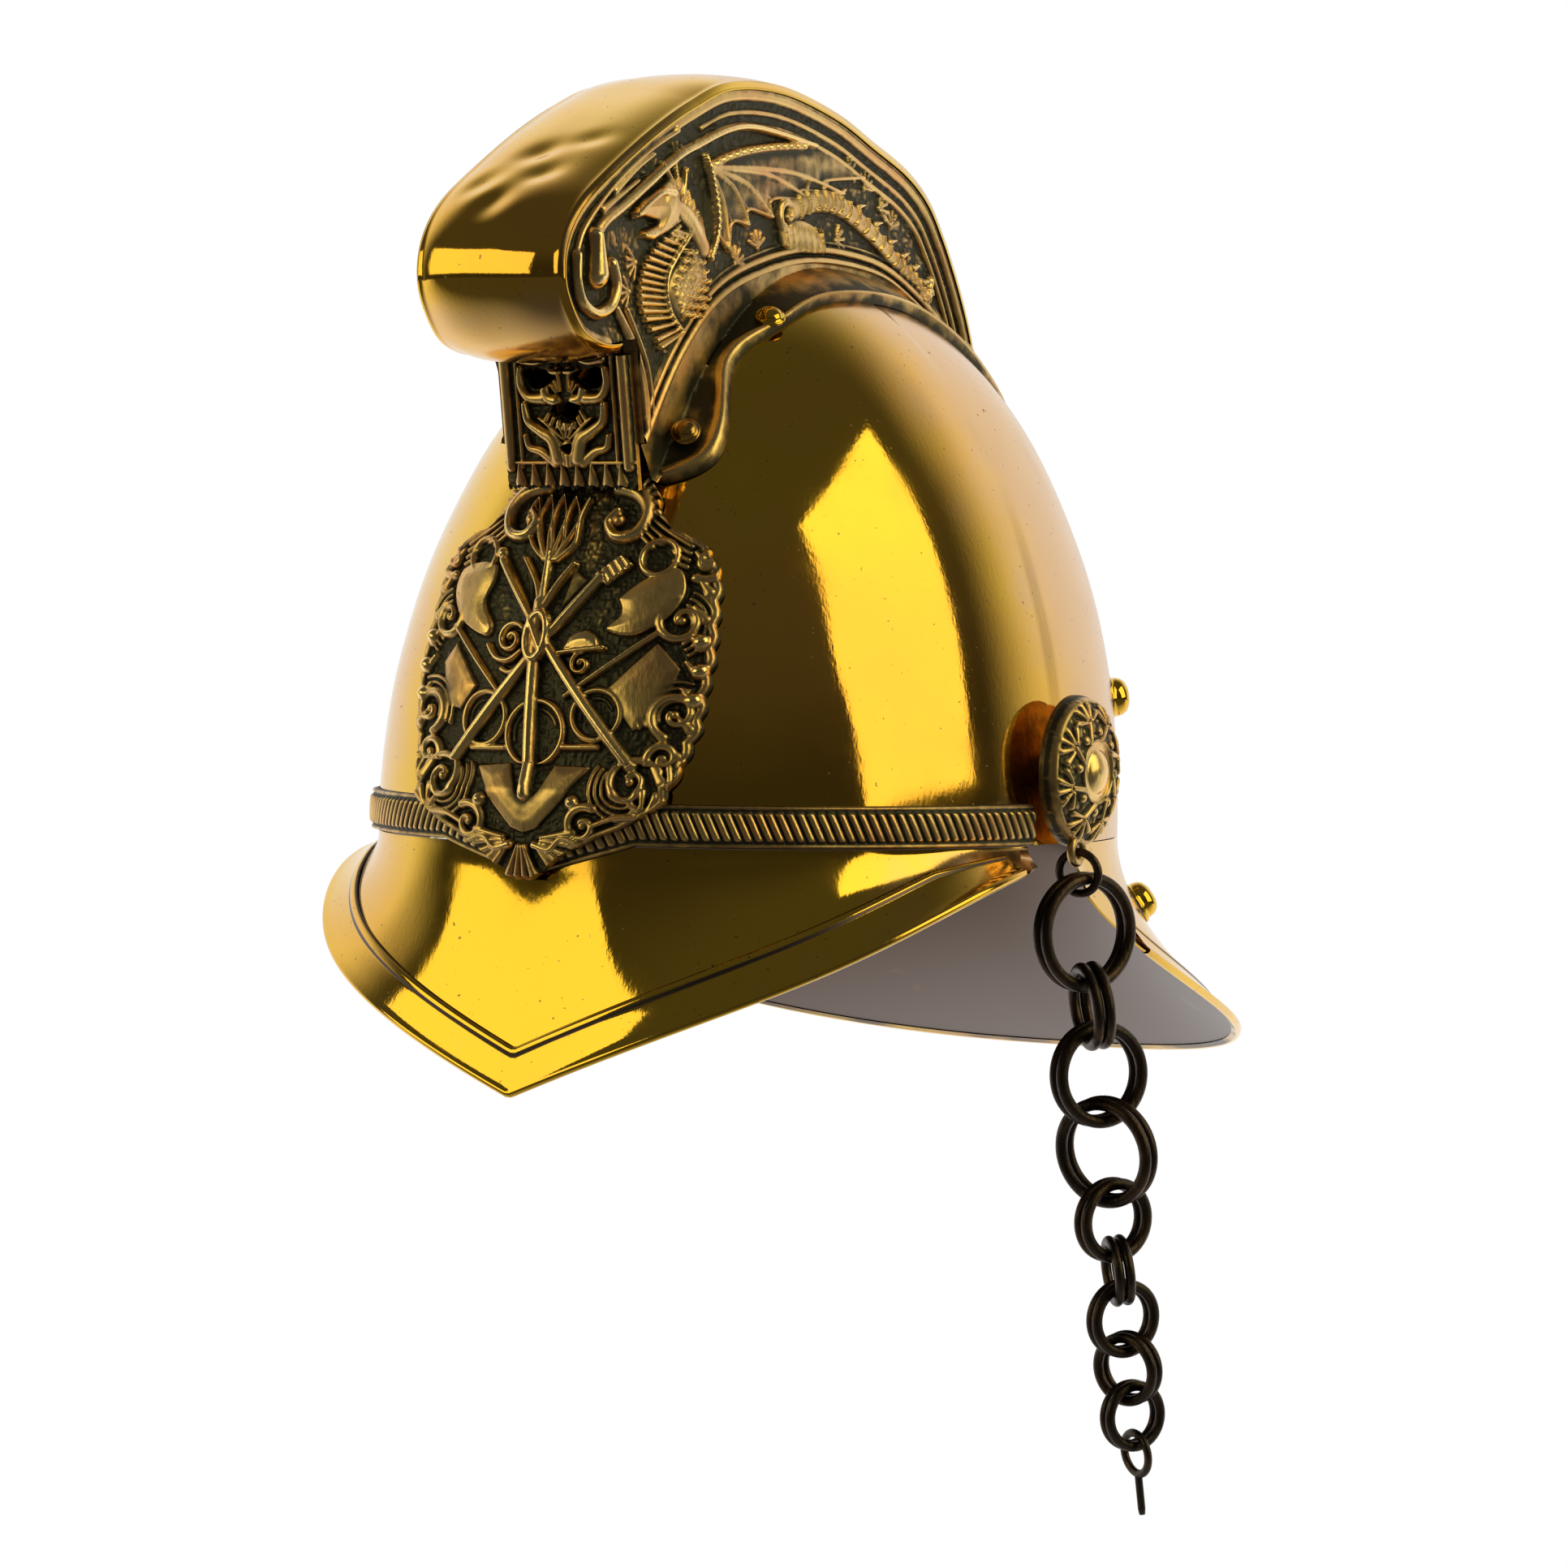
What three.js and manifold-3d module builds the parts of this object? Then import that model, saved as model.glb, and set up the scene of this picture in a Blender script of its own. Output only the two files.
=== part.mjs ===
// Brass parade helmet: skull, two peaks, hollow comb with cast sides, badge, rope band and ring chain.
// Millimetres, +Z up, the front faces -Y and the wearer's left is +X.
// The origin is the middle of the head opening, level with the rope band at the ears.
import * as THREE from 'three';
import Module from 'manifold-3d';
import { mergeVertices } from 'three/addons/utils/BufferGeometryUtils.js';

const wasm = await Module();
wasm.setup();

// Skull, outside sizes
const SKULL_HALF_WIDTH = 99;
const SKULL_FRONT = 116;
const SKULL_REAR = 118;
const SKULL_HEIGHT = 158;
const SKULL_TOP_Y = 2.3;
const SIDE_POWER = 1.91;
const FRONT_POWER = 1.78;
const REAR_POWER = 2.82;
const PLAN_ROUND_FRONT = 2.15;
const PLAN_ROUND_REAR = 2.05;
const BRASS_WALL = 0.9;
const SEAM = 0.3;

// Rope band round the front, from ear to ear
const BAND_HEIGHT = 11.5;
const BAND_LEVEL = 2.5;
const BAND_DIP = 8.5;
const BAND_BASE = 1.1;
const ROPE_RISE = 1.2;
const ROPE_TURNS = 40;
const BAND_END = 1.42;
const DIP_CLEARANCE = 0.4;

// Front peak
const PEAK_REACH = 126;
const PEAK_TIP_Z = -70;
const PEAK_HALF_WIDTH = 108;
const PEAK_SIDE_Y = -17;
const PEAK_SIDE_Z = -9;
const PEAK_ROUND = 2.2;
const PEAK_END = 1.42;

// Rear guard
const GUARD_REACH = 204;
const GUARD_TIP_Z = -77;
const GUARD_HALF_WIDTH = 105;
const GUARD_SIDE_Y = 7;
const GUARD_SIDE_Z = -9;
const GUARD_ROUND = 2.6;
const GUARD_START = 1.66;

// Both rims draw in to the skull at the ears, to this distance from it
const EAR_RIM_OUT = 1.8;

// Edge strips that are folded over both rims
const EDGE_WIDTH = 11;
const EDGE_SHEET = 0.7;
const EDGE_SEAT = 0.55;
const EDGE_EAR_SHARE = 0.04;

// Comb
const COMB_HALF_WIDTH = 21;
const COMB_LENGTH = 230;
const COMB_NOSE_Y = -140;
const COMB_TOP = 203;
const COMB_HEEL_Z = 115;
const COMB_SIDE_SHEET = 1.2;
const COMB_RELIEF = 1.6;
const STRIP_HALF_WIDTH = 23;
const STRIP_DOME = 3.4;
const CAP_HALF_WIDTH = 13;
const CAP_SHEET = 1.4;
const NECK_FOOT_Y = -98;
const NECK_FOOT_Z = 98;
const NECK_HEAD_Y = -104;
const NECK_HEAD_Z = 132;
const NECK_SHEET = 1.6;

// Badge
const BADGE_HALF_WIDTH = 46;
const BADGE_HEIGHT = 108;
const BADGE_FOOT_Z = -13;
const BADGE_SHEET = 1.1;
const BADGE_RELIEF = 3.6;
const BADGE_GAP = 0.3;
const BADGE_STEP_ROOM = 9;
const BADGE_STEP_RUN = 7;
const BADGE_TOOL_EDGE = 0.045;
const BADGE_BORDER_START = 0.8;
const BADGE_BORDER_RISE = 0.8;
const BADGE_THINNEST = 0.05;

// Ear bosses, studs and rivets
const BOSS_HALF_HEIGHT = 21;
const BOSS_HALF_WIDTH = 20;
const BOSS_DEPTH = 9;
const BOSS_Y = 0;
const BOSS_Z = 17;
const BOSS_POST_RADIUS = 5.5;
const STUD_RADIUS = 6.5;
const STUD_HEIGHT = 6;
const RIVET_RADIUS = 4.2;
const RIVET_HEIGHT = 2.6;
const HEAD_CLEARANCE = 0.3;

// Chain
const CHAIN_CLEARANCE = 0.8;
const CHAIN_LEAN_X = 0.06;
const CHAIN_LEAN_Y = 0.14;
const PAIR_GAP = 0.5;
const LOOP_RADIUS = 4.6;
const LOOP_WIRE = 2.2;
const LOOP_Z = -4.8;
const LOOP_OUT = 4;
const LOOP_Y = -4;
const HOOK_RADIUS = 6.8;
const HOOK_WIRE = 1.8;
const PIN_LENGTH = 12;
const PIN_RADIUS = 1.1;
const RING_SIDES = 10;

// Comb outline, from the tip of the nose to the heel: shares of the length and of the rise
const COMB_OUTLINE = [
  { along: 0.000, rise: 0.375 }, { along: 0.009, rise: 0.466 }, { along: 0.035, rise: 0.545 },
  { along: 0.085, rise: 0.614 }, { along: 0.189, rise: 0.795 }, { along: 0.278, rise: 0.909 },
  { along: 0.365, rise: 0.985 }, { along: 0.485, rise: 1.000 }, { along: 0.615, rise: 0.949 },
  { along: 0.711, rise: 0.875 }, { along: 0.793, rise: 0.807 }, { along: 0.850, rise: 0.727 },
  { along: 0.889, rise: 0.625 }, { along: 0.920, rise: 0.523 }, { along: 0.946, rise: 0.420 },
  { along: 0.967, rise: 0.318 }, { along: 0.983, rise: 0.216 }, { along: 1.000, rise: 0.023 },
];

// Underside of the nose, from its tip back to the neck: the same shares
const NOSE_UNDERSIDE = [
  { along: 0.000, rise: 0.375 }, { along: 0.009, rise: 0.295 }, { along: 0.039, rise: 0.205 },
  { along: 0.078, rise: 0.170 }, { along: 0.117, rise: 0.170 }, { along: 0.157, rise: 0.205 },
];

// Lower moulding of the comb side and the wavy edge of its flange: shares of the comb's length and rise
const COMB_FOOT = [
  { along: 0.178, moulding: -0.125, edgeAlong: 0.213, edge: -0.250 },
  { along: 0.252, moulding: 0.136, edgeAlong: 0.261, edge: -0.159 },
  { along: 0.339, moulding: 0.330, edgeAlong: 0.339, edge: 0.125 },
  { along: 0.443, moulding: 0.432, edgeAlong: 0.417, edge: 0.261 },
  { along: 0.565, moulding: 0.489, edgeAlong: 0.522, edge: 0.364 },
  { along: 0.713, moulding: 0.477, edgeAlong: 0.670, edge: 0.364 },
  { along: 0.809, moulding: 0.409, edgeAlong: 0.783, edge: 0.273 },
  { along: 0.896, moulding: 0.295, edgeAlong: 0.878, edge: 0.136 },
  { along: 0.983, moulding: 0.080, edgeAlong: 0.983, edge: -0.080 },
];

// Badge outline from foot to tip: shares of the badge's height and half width
const BADGE_OUTLINE = [
  { up: 0.000, wide: 0.05 }, { up: 0.070, wide: 0.28 }, { up: 0.140, wide: 0.64 },
  { up: 0.190, wide: 0.84 }, { up: 0.380, wide: 0.98 }, { up: 0.560, wide: 1.00 },
  { up: 0.740, wide: 0.96 }, { up: 0.820, wide: 0.86 }, { up: 0.880, wide: 0.56 },
  { up: 0.930, wide: 0.50 }, { up: 0.970, wide: 0.40 }, { up: 1.000, wide: 0.20 },
];

// Raised tools on the badge: ends as shares of the half width and height, radius as a share of the width
const BADGE_TOOLS = [
  { x0: 0.52, z0: 0.22, x1: -0.20, z1: 0.80, radius: 0.055 },
  { x0: -0.62, z0: 0.24, x1: 0.36, z1: 0.78, radius: 0.055 },
  { x0: 0.00, z0: 0.20, x1: 0.00, z1: 0.84, radius: 0.050 },
  { x0: -0.74, z0: 0.66, x1: 0.10, z1: 0.44, radius: 0.035 },
  { x0: 0.74, z0: 0.64, x1: -0.10, z1: 0.44, radius: 0.035 },
  { x0: -0.60, z0: 0.72, x1: -0.48, z1: 0.62, radius: 0.140 },
  { x0: 0.62, z0: 0.72, x1: 0.46, z1: 0.62, radius: 0.160 },
  { x0: -0.32, z0: 0.94, x1: 0.32, z1: 0.94, radius: 0.130 },
];

// Dragon on the comb side: bars from head to tail as shares of the comb's length and rise
const DRAGON = [
  { a0: 0.122, r0: 0.648, a1: 0.183, r1: 0.693, radius: 3.0 },
  { a0: 0.183, r0: 0.693, a1: 0.165, r1: 0.489, radius: 3.8 },
  { a0: 0.165, r0: 0.489, a1: 0.209, r1: 0.284, radius: 4.4 },
  { a0: 0.209, r0: 0.307, a1: 0.287, r1: 0.580, radius: 4.2 },
  { a0: 0.322, r0: 0.784, a1: 0.296, r1: 0.580, radius: 2.2 },
  { a0: 0.322, r0: 0.784, a1: 0.548, r1: 0.841, radius: 2.2 },
  { a0: 0.322, r0: 0.784, a1: 0.461, r1: 0.580, radius: 1.8 },
  { a0: 0.478, r0: 0.580, a1: 0.635, r1: 0.670, radius: 3.4 },
  { a0: 0.635, r0: 0.670, a1: 0.843, r1: 0.511, radius: 2.6 },
];

// Openings of the pierced neck plate: shares of its half width and height
const NECK_OPENINGS = [
  { x: 0.42, up: 0.80, wide: 0.27, tall: 0.11 }, { x: -0.42, up: 0.80, wide: 0.27, tall: 0.11 },
  { x: 0.00, up: 0.50, wide: 0.26, tall: 0.10 }, { x: 0.00, up: 0.17, wide: 0.10, tall: 0.05 },
];

// Chain rings in pairs, from the ear down: outside radius, wire and turn about the hanging line
const CHAIN_PAIRS = [
  { radius: 16.2, wire: 2.9, turn: -25 }, { radius: 12.2, wire: 2.8, turn: 45 },
  { radius: 14.6, wire: 2.9, turn: -30 }, { radius: 15.2, wire: 2.9, turn: -95 },
  { radius: 11.6, wire: 2.7, turn: -27 }, { radius: 9.6, wire: 2.5, turn: 40 },
  { radius: 10.6, wire: 2.5, turn: -32 }, { radius: 10.2, wire: 2.4, turn: -97 },
  { radius: 9.6, wire: 2.3, turn: -30 },
];

// Points closer than this are one point
const WELD = 1e-4;

const BRASS = { color: 0xb8862b, roughness: 0.18, metalness: 1 };
const CAST = { color: 0x6b5426, roughness: 0.42, metalness: 1 };
const BRONZE = { color: 0x3c302a, roughness: 0.5, metalness: 0.9 };

function mix(a, b, t) {
  return a + (b - a) * t;
}

function lookUp(rows, key, at, column) {
  const last = rows.length - 1;
  let i = 0;
  while (i < last - 1 && rows[i + 1][key] < at) {
    i += 1;
  }
  const share = (at - rows[i][key]) / (rows[i + 1][key] - rows[i][key]);
  return mix(rows[i][column], rows[i + 1][column], Math.min(1, Math.max(0, share)));
}

// A closed sheet: the outer side is base + normal * rise, the inner side base - normal * wall
function sheet(base, across, along, { rise = () => 0, wall = BRASS_WALL, ring = false, side = 1 } = {}) {
  const step = 1e-3;
  const points = [];
  const columns = ring ? across : across + 1;
  for (const face of [1, -1]) {
    for (let j = 0; j <= along; j += 1) {
      for (let i = 0; i < columns; i += 1) {
        const u = i / across;
        const v = j / along;
        const v0 = Math.max(0, Math.min(v, 1 - 3 * step));
        const du = base(u + step, v0).sub(base(u - step, v0));
        const dv = base(u, v0 + step).sub(base(u, v0));
        const normal = du.cross(dv).normalize().multiplyScalar(side);
        const offset = face > 0 ? rise(u, v) : -wall;
        points.push(base(u, v).addScaledVector(normal, offset));
      }
    }
  }
  const half = columns * (along + 1);
  const at = (i, j, k) => (i % columns) + j * columns + (k ? half : 0);
  const quads = [];
  for (let j = 0; j < along; j += 1) {
    for (let i = 0; i < across; i += 1) {
      quads.push([at(i, j, 0), at(i + 1, j, 0), at(i + 1, j + 1, 0), at(i, j + 1, 0)]);
      quads.push([at(i, j + 1, 1), at(i + 1, j + 1, 1), at(i + 1, j, 1), at(i, j, 1)]);
    }
    if (!ring) {
      quads.push([at(0, j + 1, 0), at(0, j + 1, 1), at(0, j, 1), at(0, j, 0)]);
      quads.push([at(across, j, 0), at(across, j, 1), at(across, j + 1, 1), at(across, j + 1, 0)]);
    }
  }
  for (let i = 0; i < across; i += 1) {
    quads.push([at(i, 0, 1), at(i + 1, 0, 1), at(i + 1, 0, 0), at(i, 0, 0)]);
    quads.push([at(i, along, 0), at(i + 1, along, 0), at(i + 1, along, 1), at(i, along, 1)]);
  }
  return solidFrom(points, quads);
}

// Merges equal points, drops the triangles that collapse at a pole and turns the faces outwards
function solidFrom(points, quads) {
  const keys = new Map();
  const used = [];
  const index = points.map((p) => {
    const key = p.toArray().map((value) => Math.round(value / WELD)).join(',');
    if (!keys.has(key)) {
      keys.set(key, used.length);
      used.push(p);
    }
    return keys.get(key);
  });
  const faces = [];
  let volume = 0;
  for (const quad of quads) {
    const [a, b, c, d] = quad.map((n) => index[n]);
    for (const [p, q, r] of [[a, b, c], [a, c, d]]) {
      if (p !== q && q !== r && p !== r) {
        faces.push([p, q, r]);
        volume += used[p].dot(used[q].clone().cross(used[r]));
      }
    }
  }
  const order = volume < 0 ? faces.map(([p, q, r]) => [p, r, q]) : faces;
  const geometry = new THREE.BufferGeometry();
  const places = used.flatMap((p) => [p.x, p.y, p.z]);
  geometry.setAttribute('position', new THREE.Float32BufferAttribute(places, 3));
  geometry.setIndex(order.flat());
  return geometry;
}

// Turns the faces of a closed geometry outwards, whichever way its profile ran
function outward(geometry) {
  const bare = geometry.clone();
  bare.deleteAttribute('normal');
  bare.deleteAttribute('uv');
  const merged = mergeVertices(bare, WELD);
  const at = (n) => new THREE.Vector3().fromBufferAttribute(merged.attributes.position, n);
  const index = merged.index.array;
  let volume = 0;
  for (let i = 0; i < index.length; i += 3) {
    volume += at(index[i]).dot(at(index[i + 1]).cross(at(index[i + 2])));
  }
  if (volume < 0) {
    flip(merged);
  }
  return merged;
}

function flip(geometry) {
  const index = geometry.index.array;
  for (let i = 0; i < index.length; i += 3) {
    [index[i], index[i + 1]] = [index[i + 1], index[i]];
  }
}

function mirror(geometry) {
  geometry.applyMatrix4(new THREE.Matrix4().makeScale(-1, 1, 1));
  flip(geometry);
}

function toManifold(geometry) {
  const merged = outward(geometry);
  return new wasm.Manifold(new wasm.Mesh({
    numProp: 3,
    vertProperties: new Float32Array(merged.attributes.position.array),
    triVerts: new Uint32Array(merged.index.array),
  }));
}

function join(geometries) {
  const whole = geometries.map(toManifold).reduce((sum, piece) => sum.add(piece));
  const mesh = whole.getMesh();
  const geometry = new THREE.BufferGeometry();
  geometry.setAttribute('position', new THREE.BufferAttribute(new Float32Array(mesh.vertProperties), 3));
  geometry.setIndex(Array.from(mesh.triVerts));
  return geometry;
}

function mesh(name, geometry, look) {
  const piece = new THREE.Mesh(geometry, new THREE.MeshStandardMaterial(look));
  piece.name = name;
  return piece;
}

// Share of the full half width or length that the skull still has at a height
function narrowing(z, height, power) {
  const share = Math.min(1, Math.max(0, z / height));
  return Math.sqrt(Math.max(0, 1 - share ** power));
}

// Half axes and plan exponent of the skull at a height, on the front or the rear half
function skullAxes(z, inFront, out) {
  const height = SKULL_HEIGHT + out;
  const reach = inFront ? SKULL_FRONT + SKULL_TOP_Y : SKULL_REAR - SKULL_TOP_Y;
  return {
    wide: (SKULL_HALF_WIDTH + out) * narrowing(z, height, SIDE_POWER),
    deep: (reach + out) * narrowing(z, height, inFront ? FRONT_POWER : REAR_POWER),
    round: inFront ? PLAN_ROUND_FRONT : PLAN_ROUND_REAR,
  };
}

// Point of the skull at an angle from the front, positive to the wearer's left
function skullPoint(angle, z, out = 0) {
  const inFront = Math.cos(angle) > 0;
  const { wide, deep, round } = skullAxes(z, inFront, out);
  const x = wide * Math.sign(Math.sin(angle)) * Math.abs(Math.sin(angle)) ** (2 / round);
  const y = SKULL_TOP_Y - Math.sign(Math.cos(angle)) * deep * Math.abs(Math.cos(angle)) ** (2 / round);
  return new THREE.Vector3(x, y, z);
}

// Front face of the skull over a place given by x and z
function skullFrontY(x, z, out) {
  const { wide, deep, round } = skullAxes(z, true, out);
  return SKULL_TOP_Y - deep * Math.max(0, 1 - Math.abs(x / wide) ** round) ** (1 / round);
}

// Side of the skull over a place given by y and z
function skullSideX(y, z, out) {
  const { wide, deep, round } = skullAxes(z, y < SKULL_TOP_Y, out);
  return wide * Math.max(0, 1 - Math.abs((y - SKULL_TOP_Y) / deep) ** round) ** (1 / round);
}

// Both peaks join the skull on a level line just under the rope band
const jointLevel = BAND_LEVEL - BAND_HEIGHT / 2 - SEAM / 2;

// Share of the rope band's dip to a point, at an angle from the front
function bandDip(angle) {
  const DIP_ANGLE = 0.28;
  return Math.max(0, 1 - Math.abs(angle) / DIP_ANGLE);
}

function makeSkull() {
  const SEGMENTS = 36;
  const RINGS = 8;
  const base = (u, v) => {
    const angle = (u - 0.5) * 2 * Math.PI;
    const z = mix(jointLevel + SEAM / 2, SKULL_HEIGHT, Math.sin((v * Math.PI) / 2));
    return skullPoint(angle, z);
  };
  const geometry = sheet(base, SEGMENTS, RINGS, { ring: true });
  return mesh('skull', geometry, BRASS);
}

// A peak hangs from the joint line, runs down and flares out to its rim
function flare(top, rim, t) {
  const KNEE = 0.42;
  const knee = new THREE.Vector3(top.x, top.y, mix(top.z, rim.z, KNEE));
  const a = top.clone().lerp(knee, t);
  const b = knee.clone().lerp(rim, t);
  return a.lerp(b, t);
}

// Half width of a rim along its turn: it draws in where it comes to the ear
function rimHalfWidth(halfWidth, round, turn) {
  const TUCK_POWER = 14;
  const tuck = halfWidth - SKULL_HALF_WIDTH - EAR_RIM_OUT;
  return halfWidth * Math.sin(turn) ** (2 / round) - tuck * (turn / (Math.PI / 2)) ** TUCK_POWER;
}

function frontRim(share) {
  const turn = (Math.min(1, Math.abs(share)) * Math.PI) / 2;
  const x = rimHalfWidth(PEAK_HALF_WIDTH, PEAK_ROUND, turn);
  const y = PEAK_SIDE_Y - (PEAK_REACH + PEAK_SIDE_Y) * Math.cos(turn) ** (2 / PEAK_ROUND);
  const wide = Math.sin(turn) ** (2 / PEAK_ROUND);
  const STRAIGHT = 0.74;
  const UPTURN = 6.5;
  const rise = STRAIGHT * wide + (1 - STRAIGHT) * wide ** UPTURN;
  return new THREE.Vector3(Math.sign(share) * x, y, mix(PEAK_TIP_Z, PEAK_SIDE_Z, rise));
}

function frontPeakPoint(u, v) {
  const share = 1 - 2 * u;
  const angle = share * PEAK_END;
  const top = skullPoint(angle, jointLevel - SEAM / 2);
  return flare(top, frontRim(share), v);
}

function rearRim(share) {
  const turn = (Math.min(1, Math.abs(share)) * Math.PI) / 2;
  const x = rimHalfWidth(GUARD_HALF_WIDTH, GUARD_ROUND, turn);
  const back = Math.cos(turn) ** (2 / GUARD_ROUND);
  const FALL = 0.6;
  const y = mix(GUARD_SIDE_Y, GUARD_REACH, back);
  return new THREE.Vector3(Math.sign(share) * x, y, mix(GUARD_SIDE_Z, GUARD_TIP_Z, back ** FALL));
}

function rearGuardPoint(u, v) {
  const share = 1 - 2 * u;
  const angle = Math.PI - share * (Math.PI - GUARD_START);
  const top = skullPoint(angle, jointLevel - SEAM / 2);
  return flare(top, rearRim(share), v);
}

// Strip over the rim of a peak, EDGE_WIDTH wide, as far as the peak is deep enough for it
function edgeStrip(peak) {
  return (u, v) => {
    const at = mix(EDGE_EAR_SHARE, 1 - EDGE_EAR_SHARE, u);
    const drop = peak(at, 0).distanceTo(peak(at, 1));
    const SHORTEST = 0.45;
    const start = Math.max(SHORTEST, 1 - EDGE_WIDTH / drop);
    return peak(at, mix(start, 1, v));
  };
}

function makePeaks() {
  const ACROSS = 26;
  const DOWN = 6;
  const strip = { rise: () => EDGE_SEAT + EDGE_SHEET, wall: -EDGE_SEAT };
  return [
    mesh('front_peak', sheet(frontPeakPoint, ACROSS, DOWN, { side: 1 }), BRASS),
    mesh('front_peak_edge', sheet(edgeStrip(frontPeakPoint), ACROSS, 1, { ...strip, side: 1 }), BRASS),
    mesh('rear_guard', sheet(rearGuardPoint, ACROSS, DOWN, { side: -1 }), BRASS),
    mesh('rear_guard_edge', sheet(edgeStrip(rearGuardPoint), ACROSS, 1, { ...strip, side: -1 }), BRASS),
  ];
}

function makeRopeBand() {
  const ALONG = 2 * ROPE_TURNS;
  const base = (u, v) => {
    const angle = mix(BAND_END, -BAND_END, u);
    const dip = bandDip(angle);
    const z = BAND_LEVEL - dip * BAND_DIP + (0.5 - v) * BAND_HEIGHT;
    return skullPoint(angle, z, SEAM + dip * DIP_CLEARANCE);
  };
  const rise = (u, v) => {
    const lean = u < 0.5 ? v : -v;
    const rope = 0.5 + 0.5 * Math.cos(2 * Math.PI * (u * ROPE_TURNS + lean));
    return BAND_BASE + (v > 0 && v < 1 ? ROPE_RISE * rope : 0);
  };
  return mesh('rope_band', sheet(base, ALONG, 2, { rise, wall: 0, side: 1 }), CAST);
}

function combPlace({ along, rise }) {
  return new THREE.Vector2(COMB_NOSE_Y + along * COMB_LENGTH, mix(COMB_HEEL_Z, COMB_TOP, rise));
}

// Smooth top line of the comb, from under the nose over the top to the heel
const combLine = new THREE.SplineCurve([
  ...NOSE_UNDERSIDE.slice(1).reverse().map(combPlace),
  ...COMB_OUTLINE.map(combPlace),
]);

// Bar with round ends in the plane of the comb side
function bar(from, to, radius, depth) {
  const direction = to.clone().sub(from).normalize();
  const turn = Math.atan2(direction.y, direction.x);
  const shape = new THREE.Shape();
  shape.absarc(from.x, from.y, radius, turn + Math.PI / 2, turn + 1.5 * Math.PI, false);
  shape.absarc(to.x, to.y, radius, turn - Math.PI / 2, turn + Math.PI / 2, false);
  return new THREE.ExtrudeGeometry(shape, { depth, bevelEnabled: false, curveSegments: 2 });
}

// Cast side of the comb: flat plate, mouldings and dragon, and the flange that comes down to the skull
function makeCombSide(name, side) {
  const STEPS = 24;
  const top = combLine.getSpacedPoints(STEPS);
  const INSET = 0.5;
  const foot = COMB_FOOT.map((row) => combPlace({ along: row.along, rise: row.moulding }));
  const neck = new THREE.Vector2(NECK_HEAD_Y, NECK_HEAD_Z);
  const outline = new THREE.Shape([neck, ...top.slice(1), ...foot.slice().reverse()]);
  const plate = new THREE.ExtrudeGeometry(outline, { depth: COMB_SIDE_SHEET, bevelEnabled: false });
  const pieces = [plate];
  const depth = COMB_SIDE_SHEET + COMB_RELIEF;
  const MOULDING = 1.5;
  for (let i = 0; i < foot.length - 1; i += 1) {
    pieces.push(bar(foot[i], foot[i + 1], MOULDING, depth));
  }
  for (const row of DRAGON) {
    const from = combPlace({ along: row.a0, rise: row.r0 });
    const to = combPlace({ along: row.a1, rise: row.r1 });
    pieces.push(bar(from, to, row.radius, depth));
  }
  const OUTER = COMB_HALF_WIDTH - COMB_SIDE_SHEET;
  for (const piece of pieces) {
    piece.applyMatrix4(new THREE.Matrix4().set(0, 0, 1, OUTER, 1, 0, 0, 0, 0, 1, 0, 0, 0, 0, 0, 1));
  }
  const flange = sheet(flangePoint, 16, 6, { wall: COMB_SIDE_SHEET - INSET, rise: () => INSET, side: 1 });
  const whole = join([...pieces, flange]);
  if (side < 0) {
    mirror(whole);
  }
  return mesh(name, whole, CAST);
}

// Flange from the lower moulding down and out to the skull
function flangePoint(u, v) {
  const row = u * (COMB_FOOT.length - 1);
  const i = Math.min(COMB_FOOT.length - 2, Math.max(0, Math.floor(row)));
  const t = row - i;
  const a = COMB_FOOT[i];
  const b = COMB_FOOT[i + 1];
  const head = combPlace({ along: mix(a.along, b.along, t), rise: mix(a.moulding, b.moulding, t) });
  const edge = combPlace({ along: mix(a.edgeAlong, b.edgeAlong, t), rise: mix(a.edge, b.edge, t) });
  const LIFT = 1.9;
  const place = head.lerp(edge, Math.min(1, Math.max(0, v)));
  const upright = COMB_HALF_WIDTH - COMB_SIDE_SHEET / 2;
  return new THREE.Vector3(Math.max(upright, skullSideX(place.x, place.y, LIFT)), place.x, place.y);
}

// Domed strip that closes the comb from under the nose to the heel
function stripPoint(u, v, halfWidth, from, to, lift) {
  const at = mix(from, to, v);
  const place = combLine.getPointAt(Math.min(1, Math.max(0, at)));
  const tangent = combLine.getTangentAt(Math.min(1, Math.max(0, at)));
  const across = 1 - 2 * u;
  const x = across * halfWidth;
  const height = lift + STRIP_DOME * (1 - (x / STRIP_HALF_WIDTH) ** 2);
  return new THREE.Vector3(x, place.x - tangent.y * height, place.y + tangent.x * height);
}

function makeCombTop() {
  const SEAT = SEAM + BRASS_WALL + 0.4;
  const STRIP_FROM = 0.025;
  const CAP_FROM = 0.78;
  const CAP_TO = 0.9;
  const strip = (u, v) => stripPoint(u, v, STRIP_HALF_WIDTH, STRIP_FROM, 1, SEAT);
  const cap = (u, v) => stripPoint(u, v, CAP_HALF_WIDTH, CAP_FROM, CAP_TO, SEAT + SEAM);
  return [
    mesh('comb_top_strip', sheet(strip, 6, 26, { side: -1 }), BRASS),
    mesh('comb_rear_cap', sheet(cap, 4, 5, { rise: () => CAP_SHEET, wall: 0, side: -1 }), BRONZE),
  ];
}

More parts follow.
